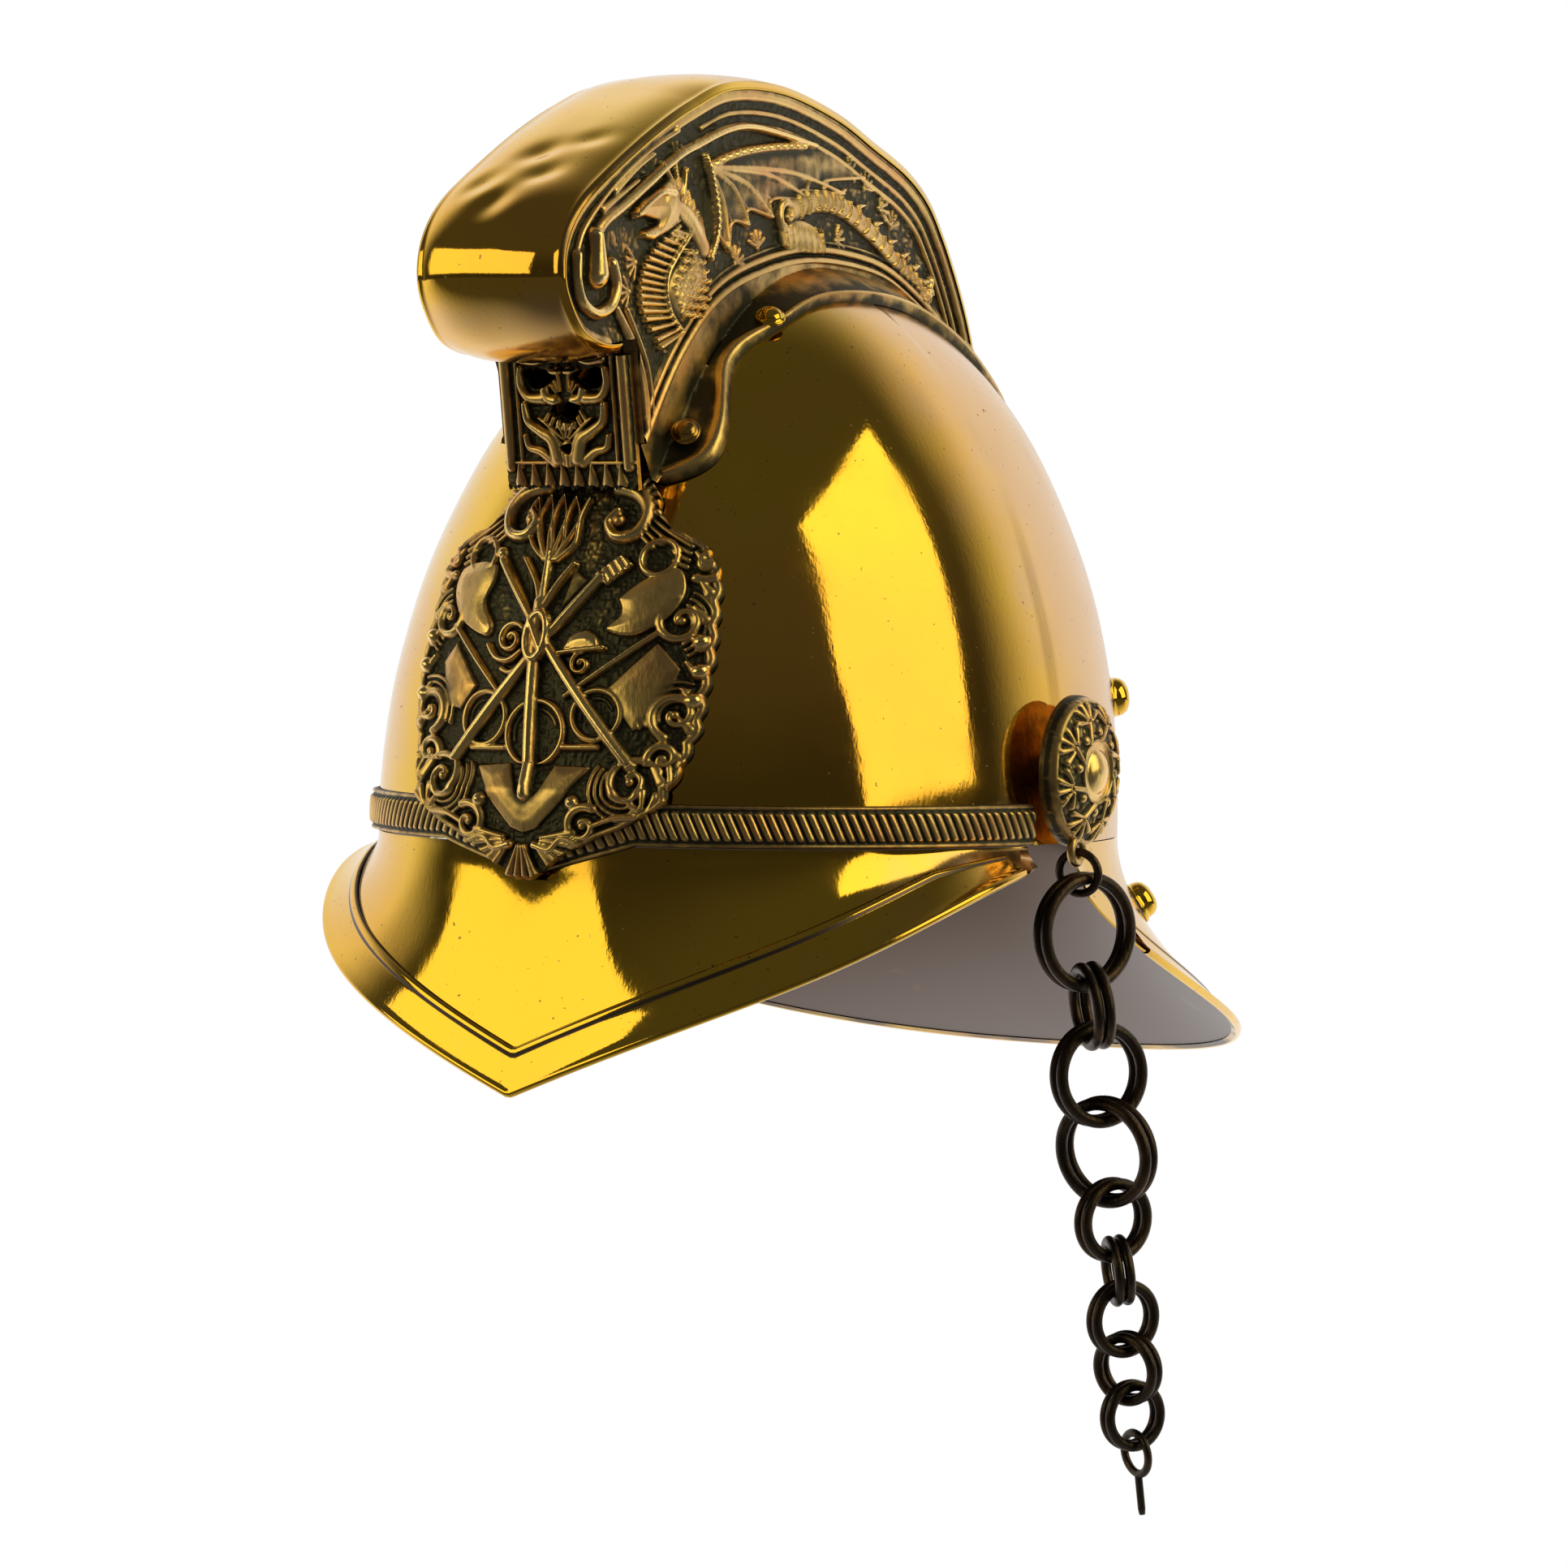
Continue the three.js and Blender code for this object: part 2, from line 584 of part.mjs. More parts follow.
// Pierced plate of the neck, between the two comb sides
function makeNeckPlate() {
  const half = COMB_HALF_WIDTH - COMB_SIDE_SHEET - SEAM;
  const TOP_CLEAR = 4.5;
  const run = Math.hypot(NECK_HEAD_Y - NECK_FOOT_Y, NECK_HEAD_Z - NECK_FOOT_Z) - TOP_CLEAR;
  const shape = new THREE.Shape();
  shape.moveTo(-half, 0).lineTo(half, 0).lineTo(half, run).lineTo(-half, run).closePath();
  for (const hole of NECK_OPENINGS) {
    const path = new THREE.Path();
    path.absellipse(hole.x * half, hole.up * run, hole.wide * half, hole.tall * run, 0, 2 * Math.PI, true);
    shape.holes.push(path);
  }
  const look = { depth: NECK_SHEET, bevelEnabled: false, curveSegments: 5 };
  const plate = new THREE.ExtrudeGeometry(shape, look);
  const ribs = [-1, 1].map((hand) => {
    const RIB = 1.6;
    const rib = new THREE.BoxGeometry(RIB * 2, run, NECK_SHEET + COMB_RELIEF);
    rib.translate(hand * (half - RIB), run / 2, (NECK_SHEET + COMB_RELIEF) / 2);
    return rib;
  });
  const piece = mesh('comb_neck_plate', join([plate, ...ribs]), CAST);
  const lean = Math.atan2(NECK_FOOT_Y - NECK_HEAD_Y, NECK_HEAD_Z - NECK_FOOT_Z);
  piece.rotation.x = Math.PI / 2 + lean;
  piece.position.set(0, NECK_FOOT_Y, NECK_FOOT_Z);
  return piece;
}

// Height of the raised work on the badge, over a place given in shares of its half width and height
function badgeRise(x, up) {
  let rise = 0;
  const aspect = BADGE_HEIGHT / BADGE_HALF_WIDTH;
  for (const tool of BADGE_TOOLS) {
    const dx = tool.x1 - tool.x0;
    const dz = (tool.z1 - tool.z0) * aspect;
    const px = x - tool.x0;
    const pz = (up - tool.z0) * aspect;
    const t = Math.min(1, Math.max(0, (px * dx + pz * dz) / (dx * dx + dz * dz)));
    const away = Math.hypot(px - t * dx, pz - t * dz) / (tool.radius + BADGE_TOOL_EDGE);
    rise = Math.max(rise, 1 - away ** 2);
  }
  const border = Math.abs(x) / Math.max(BADGE_THINNEST, lookUp(BADGE_OUTLINE, 'up', up, 'wide'));
  const inBorder = (border - BADGE_BORDER_START) / (1 - BADGE_BORDER_START);
  const swell = Math.sin(Math.PI * Math.min(1, Math.max(0, inBorder)));
  return Math.max(rise, BADGE_BORDER_RISE * swell);
}

function makeBadge() {
  const ACROSS = 18;
  const UP = 22;
  const place = (u, v) => ({ x: (2 * u - 1) * lookUp(BADGE_OUTLINE, 'up', v, 'wide'), up: v });
  const base = (u, v) => {
    const { x, up } = place(u, v);
    const z = BADGE_FOOT_Z + up * BADGE_HEIGHT;
    const bandTop = BAND_LEVEL + BAND_HEIGHT / 2;
    const overBand = Math.min(1, Math.max(0, (bandTop + BADGE_STEP_ROOM - z) / BADGE_STEP_RUN));
    const out = SEAM + BADGE_GAP + overBand * (BAND_BASE + ROPE_RISE + SEAM);
    return new THREE.Vector3(x * BADGE_HALF_WIDTH, skullFrontY(x * BADGE_HALF_WIDTH, z, out), z);
  };
  const rise = (u, v) => {
    const { x, up } = place(u, v);
    return BADGE_SHEET + BADGE_RELIEF * badgeRise(x, up);
  };
  return mesh('badge_plate', sheet(base, ACROSS, UP, { rise, wall: 0, side: 1 }), CAST);
}

// Ring of straight bars round the X axis, with a flat run at the top and the bottom
function ringGeometry(radius, wire, sides = RING_SIDES, wireSides = 5) {
  const ring = new THREE.TorusGeometry(radius - wire / 2, wire / 2, wireSides, sides);
  ring.rotateZ(Math.PI / sides);
  ring.rotateY(Math.PI / 2);
  return outward(ring);
}

// Inside radius of such a ring at its flat top and bottom
function innerFlat(radius, wire, sides = RING_SIDES) {
  return (radius - wire) * Math.cos(Math.PI / sides);
}

const bossBack = SKULL_HALF_WIDTH + SEAM + BAND_BASE + ROPE_RISE + SEAM;

function makeBoss(name, side) {
  const postEnd = skullSideX(BOSS_Y, BOSS_Z - BOSS_POST_RADIUS, 0) + SEAM - bossBack;
  const profile = [[0, postEnd], [BOSS_POST_RADIUS, postEnd], [BOSS_POST_RADIUS, 0]]
    .map(([r, h]) => new THREE.Vector2(r, h));
  const dome = [[1, 0], [1, 0.16], [0.86, 0.52], [0.6, 0.82], [0.36, 0.9], [0.34, 1], [0, 1.16]];
  const post = new THREE.LatheGeometry([...profile, new THREE.Vector2(0, 0.5)], 10);
  const oval = new THREE.LatheGeometry(
    [new THREE.Vector2(0, 0), ...dome.map(([r, h]) => new THREE.Vector2(r, h * BOSS_DEPTH))], 14);
  oval.scale(BOSS_HALF_WIDTH, 1, BOSS_HALF_HEIGHT);
  const ontoEar = new THREE.Matrix4().set(0, 1, 0, bossBack, 1, 0, 0, BOSS_Y, 0, 0, 1, BOSS_Z, 0, 0, 0, 1);
  for (const geometry of [post, oval]) {
    geometry.applyMatrix4(ontoEar);
  }
  const loop = ringGeometry(LOOP_RADIUS, LOOP_WIRE, RING_SIDES, 6);
  loop.translate(bossBack + LOOP_OUT, BOSS_Y + LOOP_Y, LOOP_Z);
  const whole = join([post, oval, loop]);
  if (side < 0) {
    mirror(whole);
  }
  return mesh(name, whole, CAST);
}

// Domed head with its flat face on the origin, pointing along +Y
function headGeometry(radius, height) {
  const rows = [[0, 0], [1, 0], [0.94, 0.45], [0.62, 0.86], [0, 1]];
  const profile = rows.map(([r, h]) => new THREE.Vector2(r * radius, h * height));
  return outward(new THREE.LatheGeometry(profile, 10));
}

// Height, along the normal, of the highest face of a piece under a round head
function heightUnder(target, point, normal, radius) {
  const SPOKES = 12;
  const CIRCLES = 3;
  const FAR = 4 * radius;
  const turned = new THREE.Quaternion().setFromUnitVectors(new THREE.Vector3(0, 1, 0), normal);
  const down = normal.clone().negate();
  let highest = -FAR;
  for (let circle = 0; circle <= CIRCLES; circle += 1) {
    for (let spoke = 0; spoke < SPOKES; spoke += 1) {
      const turn = (spoke / SPOKES) * 2 * Math.PI;
      const away = (radius * circle) / CIRCLES;
      const from = new THREE.Vector3(away * Math.cos(turn), FAR, away * Math.sin(turn));
      from.applyQuaternion(turned).add(point);
      const [hit] = new THREE.Raycaster(from, down).intersectObject(target);
      if (hit) {
        highest = Math.max(highest, FAR - hit.distance);
      }
    }
  }
  return highest;
}

// Domed head on a piece, clear of the highest face under it
function placeHead(name, target, point, normal, radius, height) {
  const seat = heightUnder(target, point, normal, radius) + HEAD_CLEARANCE;
  const piece = mesh(name, headGeometry(radius, height), BRASS);
  piece.quaternion.setFromUnitVectors(new THREE.Vector3(0, 1, 0), normal);
  piece.position.copy(point).addScaledVector(normal, seat);
  return piece;
}

function surfaceNormal(surface, u, v, towards) {
  const step = 1e-3;
  const du = surface(u + step, v).sub(surface(u - step, v));
  const dv = surface(u, v + step).sub(surface(u, v - step));
  const normal = du.cross(dv).normalize();
  return normal.dot(towards) < 0 ? normal.negate() : normal;
}

function makeStuds(skullPiece, guardPiece) {
  const STUD_ANGLE = 2.25;
  const STUD_Z = 36;
  const GUARD_U = 0.2;
  const GUARD_V = 0.4;
  const pieces = [];
  for (const [hand, side] of [['left', 1], ['right', -1]]) {
    const skull = (u, v) => skullPoint(side * STUD_ANGLE + u, STUD_Z + v * SKULL_HEIGHT);
    const high = skull(0, 0);
    const highNormal = surfaceNormal(skull, 0, 0, high);
    pieces.push(placeHead(`skull_stud_${hand}`, skullPiece, high, highNormal, STUD_RADIUS, STUD_HEIGHT));
    const u = side > 0 ? GUARD_U : 1 - GUARD_U;
    const low = rearGuardPoint(u, GUARD_V);
    const lowNormal = surfaceNormal(rearGuardPoint, u, GUARD_V, low);
    pieces.push(placeHead(`guard_stud_${hand}`, guardPiece, low, lowNormal, STUD_RADIUS, STUD_HEIGHT));
  }
  return pieces;
}

function makeRivets(sidePieces) {
  const PLACES = [
    { name: 'front', u: 0.125, v: 0.8 },
    { name: 'middle', u: 0.37, v: 0.85 },
    { name: 'rear', u: 0.84, v: 0.6 },
  ];
  const pieces = [];
  for (const [hand, side] of [['left', 1], ['right', -1]]) {
    const sidePiece = sidePieces[hand];
    const flange = (u, v) => {
      const point = flangePoint(u, v);
      point.x *= side;
      return point;
    };
    for (const place of PLACES) {
      const point = flange(place.u, place.v);
      const normal = surfaceNormal(flange, place.u, place.v, new THREE.Vector3(side, 0, 0));
      const name = `comb_rivet_${place.name}_${hand}`;
      pieces.push(placeHead(name, sidePiece, point, normal, RIVET_RADIUS, RIVET_HEIGHT));
    }
  }
  return pieces;
}

function makeChain() {
  const chain = new THREE.Group();
  chain.position.set(bossBack + LOOP_OUT, BOSS_Y + LOOP_Y, LOOP_Z);
  chain.rotation.set(CHAIN_LEAN_Y, -CHAIN_LEAN_X, 0);
  const hook = mesh('chain_hook', ringGeometry(HOOK_RADIUS, HOOK_WIRE), BRONZE);
  let z = -innerFlat(LOOP_RADIUS, LOOP_WIRE) - innerFlat(HOOK_RADIUS, HOOK_WIRE) + CHAIN_CLEARANCE;
  hook.rotation.z = Math.PI / 2;
  hook.position.z = z;
  chain.add(hook);
  let above = innerFlat(HOOK_RADIUS, HOOK_WIRE);
  CHAIN_PAIRS.forEach((row, n) => {
    const inner = innerFlat(row.radius, row.wire);
    z -= above + inner - CHAIN_CLEARANCE;
    const turn = THREE.MathUtils.degToRad(row.turn);
    ['a', 'b'].forEach((letter, k) => {
      const ring = mesh(`chain_ring_${n + 1}${letter}`, ringGeometry(row.radius, row.wire), BRONZE);
      const aside = (k - 0.5) * (row.wire + PAIR_GAP);
      ring.rotation.z = turn;
      ring.position.set(aside * Math.cos(turn), aside * Math.sin(turn), z);
      chain.add(ring);
    });
    above = inner;
  });
  const last = CHAIN_PAIRS[CHAIN_PAIRS.length - 1];
  const eye = ringGeometry(HOOK_RADIUS, HOOK_WIRE);
  const pin = new THREE.CylinderGeometry(PIN_RADIUS, PIN_RADIUS, PIN_LENGTH, 8);
  pin.rotateX(Math.PI / 2);
  pin.translate(0, 0, -(HOOK_RADIUS - HOOK_WIRE / 2) - PIN_LENGTH / 2);
  const end = mesh('chain_end_pin', join([eye, pin]), BRONZE);
  end.rotation.z = THREE.MathUtils.degToRad(last.turn + 90);
  end.position.z = z - above - innerFlat(HOOK_RADIUS, HOOK_WIRE) + CHAIN_CLEARANCE;
  chain.add(end);
  return chain;
}

const skull = makeSkull();
const peaks = makePeaks();
const combSides = {
  left: makeCombSide('comb_side_left', 1),
  right: makeCombSide('comb_side_right', -1),
};
const rearGuard = peaks.find((piece) => piece.name === 'rear_guard');
const helmet = new THREE.Group();
helmet.add(
  skull,
  ...peaks,
  makeRopeBand(),
  combSides.left,
  combSides.right,
  ...makeCombTop(),
  makeNeckPlate(),
  makeBadge(),
  makeBoss('ear_boss_left', 1),
  makeBoss('ear_boss_right', -1),
  ...makeStuds(skull, rearGuard),
  ...makeRivets(combSides),
  makeChain(),
);

export default helmet;
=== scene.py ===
"""Looks of the brass fire helmet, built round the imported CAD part.

Surfaces are worked out in millimetres as whole numpy arrays and become meshes in metres.
+Z is up, the front faces -Y and the wearer's left is +X, as in the CAD part.
"""

import logging
import math
from collections.abc import Sequence
from dataclasses import dataclass
from enum import Enum

import bpy
import numpy as np
from mathutils import Matrix, Quaternion, Vector


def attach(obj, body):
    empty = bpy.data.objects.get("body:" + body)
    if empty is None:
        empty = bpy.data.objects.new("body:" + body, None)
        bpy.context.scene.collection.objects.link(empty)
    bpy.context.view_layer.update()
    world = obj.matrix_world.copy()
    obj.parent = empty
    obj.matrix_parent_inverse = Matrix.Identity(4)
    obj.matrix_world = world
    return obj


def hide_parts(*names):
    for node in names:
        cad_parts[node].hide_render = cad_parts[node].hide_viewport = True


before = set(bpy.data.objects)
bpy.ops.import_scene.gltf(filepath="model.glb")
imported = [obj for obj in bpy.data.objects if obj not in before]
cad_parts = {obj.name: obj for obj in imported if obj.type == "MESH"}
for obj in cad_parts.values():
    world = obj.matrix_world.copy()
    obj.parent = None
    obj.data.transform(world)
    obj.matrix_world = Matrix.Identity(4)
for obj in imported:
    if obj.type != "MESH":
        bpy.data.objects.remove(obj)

logging.basicConfig(level=logging.INFO, format="%(message)s")
LOG = logging.getLogger("helmet")

Array = np.ndarray
Point = tuple[float, float]
Colour = tuple[float, float, float]
Socket = bpy.types.NodeSocket

MM = 0.001
ROOT = "root"
UP = np.array([0.0, 0.0, 1.0])

# Wear that the finishes read: low is grime, the middle clean metal, high haze or rubbed metal
INSIDE_WEAR = 0.2
GROUND_WEAR = 0.38
WALL_WEAR = 0.6
CLEAN_WEAR = 0.62


class Slot(Enum):
    """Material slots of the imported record."""

    POLISHED = "polished_brass"
    CAST = "cast_brass"
    BRONZE = "dark_bronze"


class Side(Enum):
    """Hands of the helmet: the sign of X."""

    LEFT = 1
    RIGHT = -1

    @property
    def word(self) -> str:
        """Name of the hand, as the CAD nodes spell it."""
        return self.name.lower()


def mix(a: Array | float, b: Array | float, share: Array | float) -> Array | float:
    """Point between two values.

    Args:
        a: Value at share 0.
        b: Value at share 1.
        share: Share of the way.

    Returns:
        a + (b - a) * share.
    """
    return a + (b - a) * share


def step(low: float, high: float, value: Array | float) -> Array | float:
    """Smooth step from 0 at low to 1 at high.

    Args:
        low: Value where the step starts.
        high: Value where it ends.
        value: Values to step.

    Returns:
        t*t*(3 - 2t), where t is the share of the way, held to 0..1.
    """
    t = np.clip((value - low) / (high - low), 0, 1)
    return t * t * (3 - 2 * t)


def lattice(rows: int, columns: int) -> tuple[Array, Array]:
    """Even grid of shares.

    Args:
        rows: Number of rows, along v.
        columns: Number of columns, along u.

    Returns:
        u and v, each rows x columns.
    """
    return np.meshgrid(np.linspace(0, 1, columns), np.linspace(0, 1, rows))


def normals(points: Array) -> Array:
    """Unit normals of a grid of points: the cross product of its two grid directions.

    Args:
        points: Rows x columns x 3.

    Returns:
        Unit normals of the same shape.
    """
    across = np.gradient(points, axis=1)
    along = np.gradient(points, axis=0)
    normal = np.cross(across, along)
    length = np.linalg.norm(normal, axis=-1, keepdims=True)
    return np.where(length > 1e-9, normal / np.maximum(length, 1e-9), UP)


def patches_of_noise(a: Array, b: Array, pitch: float, seed: int) -> Array:
    """Smooth random field: random values on a square grid, blended between its corners.

    Args:
        a: First coordinate of each point.
        b: Second coordinate of each point.
        pitch: Spacing of the random values.
        seed: Seed of the random values.

    Returns:
        Values from -1 to 1.
    """
    random = np.random.default_rng(seed).uniform(-1, 1, (256, 256))
    x, y = a / pitch + 97.0, b / pitch + 97.0
    i, j = np.floor(x).astype(int), np.floor(y).astype(int)
    s, t = x - i, y - j
    s, t = s * s * (3 - 2 * s), t * t * (3 - 2 * t)
    i, j = i % 255, j % 255
    low = mix(random[i, j], random[i + 1, j], s)
    high = mix(random[i, j + 1], random[i + 1, j + 1], s)
    return mix(low, high, t)


def blur(values: Array, reach: int) -> Array:
    """Running mean along both grid directions, done twice.

    Args:
        values: Rows x columns.
        reach: Cells on each side.

    Returns:
        Blurred values.
    """
    width = 2 * reach + 1
    for _ in range(2):
        for axis in (0, 1):
            pad = [(0, 0), (0, 0)]
            pad[axis] = (reach + 1, reach)
            total = np.cumsum(np.pad(values, pad, mode="edge"), axis=axis)
            size = values.shape[axis]
            upper = np.take(total, range(width, width + size), axis=axis)
            lower = np.take(total, range(size), axis=axis)
            values = (upper - lower) / width
    return values


def curve(points: Sequence[Point], count: int = 40) -> Array:
    """Smooth curve through points: a uniform Catmull-Rom spline with its end points doubled.

    Args:
        points: The points that it goes through.
        count: Number of points to return.

    Returns:
        count x 2 array, even in the spline's parameter.
    """
    p = np.array(points, float)
    padded = np.vstack([p[:1], p, p[-1:]])
    t = np.linspace(0, len(p) - 1, count)
    i = np.minimum(t.astype(int), len(p) - 2)
    f = (t - i)[:, None]
    a, b, c, d = padded[i], padded[i + 1], padded[i + 2], padded[i + 3]
    return 0.5 * (2 * b + (c - a) * f + (2 * a - 5 * b + 4 * c - d) * f**2 + (3 * b - a - 3 * c + d) * f**3)


def arc(centre: Point, radius: float, start: float, end: float, count: int = 20) -> Array:
    """Points of a circular arc.

    Args:
        centre: Its middle.
        radius: Its radius.
        start: First angle in degrees, from +a towards +b.
        end: Last angle in degrees.
        count: Number of points.

    Returns:
        count x 2 array.
    """
    t = np.radians(np.linspace(start, end, count))
    return np.column_stack([centre[0] + radius * np.cos(t), centre[1] + radius * np.sin(t)])


def scroll(centre: Point, radius: float, start: float, turns: float, inner: float = 0.2,
           count: int = 44) -> Array:
    """Spiral that winds into its centre.

    Args:
        centre: Its eye.
        radius: Radius where it starts.
        start: Angle where it starts, in degrees.
        turns: Turns to the eye, negative for clockwise.
        inner: Share of the radius where it ends.
        count: Number of points.

    Returns:
        count x 2 array, from the outside inwards.
    """
    share = np.linspace(0, 1, count)
    t = np.radians(start) + 2 * np.pi * turns * share
    r = radius * mix(1.0, inner, share)
    return np.column_stack([centre[0] + r * np.cos(t), centre[1] + r * np.sin(t)])


def resample(path: Array, count: int) -> Array:
    """Points at even distances along a path.

    Args:
        path: n x 2 points.
        count: Number of points to return.

    Returns:
        count x 2 array.
    """
    length = np.concatenate([[0], np.cumsum(np.linalg.norm(np.diff(path, axis=0), axis=1))])
    at = np.linspace(0, length[-1], count)
    return np.column_stack([np.interp(at, length, path[:, k]) for k in (0, 1)])


def oval(half_a: float, half_b: float, count: int, centre: Point = (0.0, 0.0)) -> Array:
    """Closed ellipse.

    Args:
        half_a: Half axis along a.
        half_b: Half axis along b.
        count: Number of points, of which the last is the first again.
        centre: Its middle.

    Returns:
        count x 2 array.
    """
    t = np.linspace(0, 2 * np.pi, count)
    return np.column_stack([centre[0] + half_a * np.cos(t), centre[1] + half_b * np.sin(t)])


def tangents(line: Array) -> Array:
    """Unit directions along a line of points.

    Args:
        line: n x 2 points.

    Returns:
        n x 2 directions.
    """
    run = np.gradient(line, axis=0)
    return run / np.linalg.norm(run, axis=-1, keepdims=True)


def beside(line: Array, offset: float) -> Array:
    """Line moved sideways, along the normals to the left of its run.

    Args:
        line: n x 2 points.
        offset: Distance, negative for the right.

    Returns:
        n x 2 points.
    """
    run = tangents(line)
    return line + offset * np.stack([-run[:, 1], run[:, 0]], axis=-1)


def to_segment(a: Array, b: Array, start: Array, end: Array) -> tuple[Array, Array]:
    """Distance of points from a straight segment.

    Args:
        a: First coordinate of each point.
        b: Second coordinate of each point.
        start: Start of the segment.
        end: End of the segment.

    Returns:
        Distances, and the share of the segment at which each point has its nearest place.
    """
    run = end - start
    square = max(float(run @ run), 1e-12)
    t = np.clip(((a - start[0]) * run[0] + (b - start[1]) * run[1]) / square, 0, 1)
    return np.hypot(a - start[0] - t * run[0], b - start[1] - t * run[1]), t


def grid_quads(rows: int, columns: int, wrap: bool) -> Array:
    """Corner numbers of the quads of a grid of points.

    Args:
        rows: Rows of points.
        columns: Points in each row.
        wrap: Whether each row closes on itself.

    Returns:
        Rows x columns x 4 numbers, with one row less, and one column less where it isn't wrapped.
    """
    index = np.arange(rows * columns).reshape(rows, columns)
    if wrap:
        index = np.hstack([index, index[:, :1]])
    return np.stack([index[:-1, :-1], index[:-1, 1:], index[1:, 1:], index[1:, :-1]], axis=-1)


class Relief:
    """Raised work over a plane, as one height in millimetres for each point of a grid."""

    def __init__(self, a: Array, b: Array, mirrored: bool = False) -> None:
        """Starts flat.

        Args:
            a: First coordinate of each point.
            b: Second coordinate of each point.
            mirrored: Whether every piece is laid at -a as well.
        """
        self.a = a
        self.b = b
        self.mirrored = mirrored
        self.height = np.zeros_like(a)

    def _near(self, path: Array, radius: Array) -> tuple[Array, Array]:
        """Distance to a path in shares of its radius, for the points close to it.

        Args:
            path: n x 2 points.
            radius: Radius at each point of the path.

        Returns:
            Mask of the close points, and their distances, where 1 is the edge of the bead.
        """
        reach = float(radius.max())
        keep = (self.a > path[:, 0].min() - reach) & (self.a < path[:, 0].max() + reach)
        keep &= (self.b > path[:, 1].min() - reach) & (self.b < path[:, 1].max() + reach)
        a, b = self.a[keep], self.b[keep]
        best = np.full(a.shape, 9.0)
        for n in range(max(1, len(path) - 1)):
            away, t = to_segment(a, b, path[n], path[min(n + 1, len(path) - 1)])
            wide = mix(radius[n], radius[min(n + 1, len(radius) - 1)], t)
            best = np.minimum(best, away / np.maximum(wide, 1e-6))
        return keep, best

    def _paths(self, path: Sequence[Point] | Array) -> list[Array]:
        """The path, and its mirror image where the work is mirrored.

        Args:
            path: n points.

        Returns:
            One or two n x 2 arrays.
        """
        points = np.atleast_2d(np.array(path, float))
        return [points, points * (-1, 1)] if self.mirrored else [points]

    def bead(self, path: Sequence[Point] | Array, radius: float | tuple[float, float], rise: float,
             base: float = 0.0, fat: float = 0.5) -> "Relief":
        """Lays a rounded bead along a path: base + rise * (1 - d^2)^fat, where d is the share of the radius.

        Args:
            path: Points of its middle line.
            radius: Radius, or the radius at the start and at the end.
            rise: Height over the base.
            base: Height of its foot.
            fat: 0.5 for a half round, 1 for a soft swell.

        Returns:
            This relief.
        """
        ends = radius if isinstance(radius, tuple) else (radius, radius)
        for points in self._paths(path):
            keep, away = self._near(points, np.linspace(ends[0], ends[1], len(points)))
            top = np.where(away < 1, base + rise * np.maximum(1 - away**2, 0) ** fat, -9)
            self.height[keep] = np.maximum(self.height[keep], top)
        return self

    def groove(self, path: Sequence[Point] | Array, radius: float, depth: float) -> "Relief":
        """Cuts a rounded groove along a path.

        Args:
            path: Points of its middle line.
            radius: Half of its width.
            depth: Depth at its middle.

        Returns:
            This relief.
        """
        for points in self._paths(path):
            keep, away = self._near(points, np.full(len(points), radius))
            self.height[keep] -= depth * np.maximum(1 - away**2, 0)
        return self

    def hollow(self, centre: Point, radius: float, floor: float) -> "Relief":
        """Sinks a round hollow to a floor, with a soft wall.

        Args:
            centre: Its middle.
            radius: Its radius.
            floor: Height that it is sunk to.

        Returns:
            This relief.
        """
        for points in self._paths([centre]):
            away = np.hypot(self.a - points[0, 0], self.b - points[0, 1]) / radius
            sunk = np.minimum(self.height, mix(floor, self.height, step(0.72, 1.0, away)))
            self.height = np.where(away < 1, sunk, self.height)
        return self

    def plateau(self, outline: Sequence[Point] | Array, rise: float, bevel: float = 0.6,
                crown: float = 0.0) -> "Relief":
        """Raises an area inside an outline, with a soft edge and a crowned middle.

        Args:
            outline: Corners of the area.
            rise: Height at the bevel's end.
            bevel: Width of the edge.
            crown: More height, growing with the distance from the edge.

        Returns:
            This relief.
        """
        for points in self._paths(outline):
            low, high = points.min(axis=0), points.max(axis=0)
            keep = (self.a > low[0]) & (self.a < high[0]) & (self.b > low[1]) & (self.b < high[1])
            a, b = self.a[keep], self.b[keep]
            inside = np.zeros(a.shape, bool)
            away = np.full(a.shape, 99.0)
            for start, end in zip(points, np.roll(points, -1, axis=0)):
                away = np.minimum(away, to_segment(a, b, start, end)[0])
                run = end - start
                if abs(run[1]) > 1e-12:
                    crosses = (start[1] > b) != (end[1] > b)
                    inside ^= crosses & (a < start[0] + (b - start[1]) * run[0] / run[1])
            top = rise * step(0, bevel, away) + crown * step(0, 5 * bevel, away)
            self.height[keep] = np.where(inside, np.maximum(self.height[keep], top), self.height[keep])
        return self

    def ball(self, centre: Point, radius: float, rise: float, base: float = 0.0) -> "Relief":
        """Lays a round pearl.

        Args:
            centre: Its middle.
            radius: Its radius.
            rise: Height over the base.
            base: Height of its foot.

        Returns:
            This relief.
        """
        return self.bead([centre], radius, rise, base)

    def fan(self, root: Point, radius: float, start: float, end: float, count: int, width: float,
            rise: float, inner: float = 0.25) -> "Relief":
        """Lays leaflets that spread from a root, as in a shell or an acanthus leaf.

        Args:
            root: Point that they spread from.
            radius: Length of the leaflets.
            start: Angle of the first, in degrees.
            end: Angle of the last.
            count: Number of leaflets.
            width: Radius of a leaflet at its tip.
            rise: Height.
            inner: Share of the length where they start.

        Returns:
            This relief.
        """
        for angle in np.radians(np.linspace(start, end, count)):
            direction = np.array([math.cos(angle), math.sin(angle)])
            near, far = np.array(root) + inner * radius * direction, np.array(root) + radius * direction
            self.bead([near, far], (0.5 * width, width), rise)
        return self

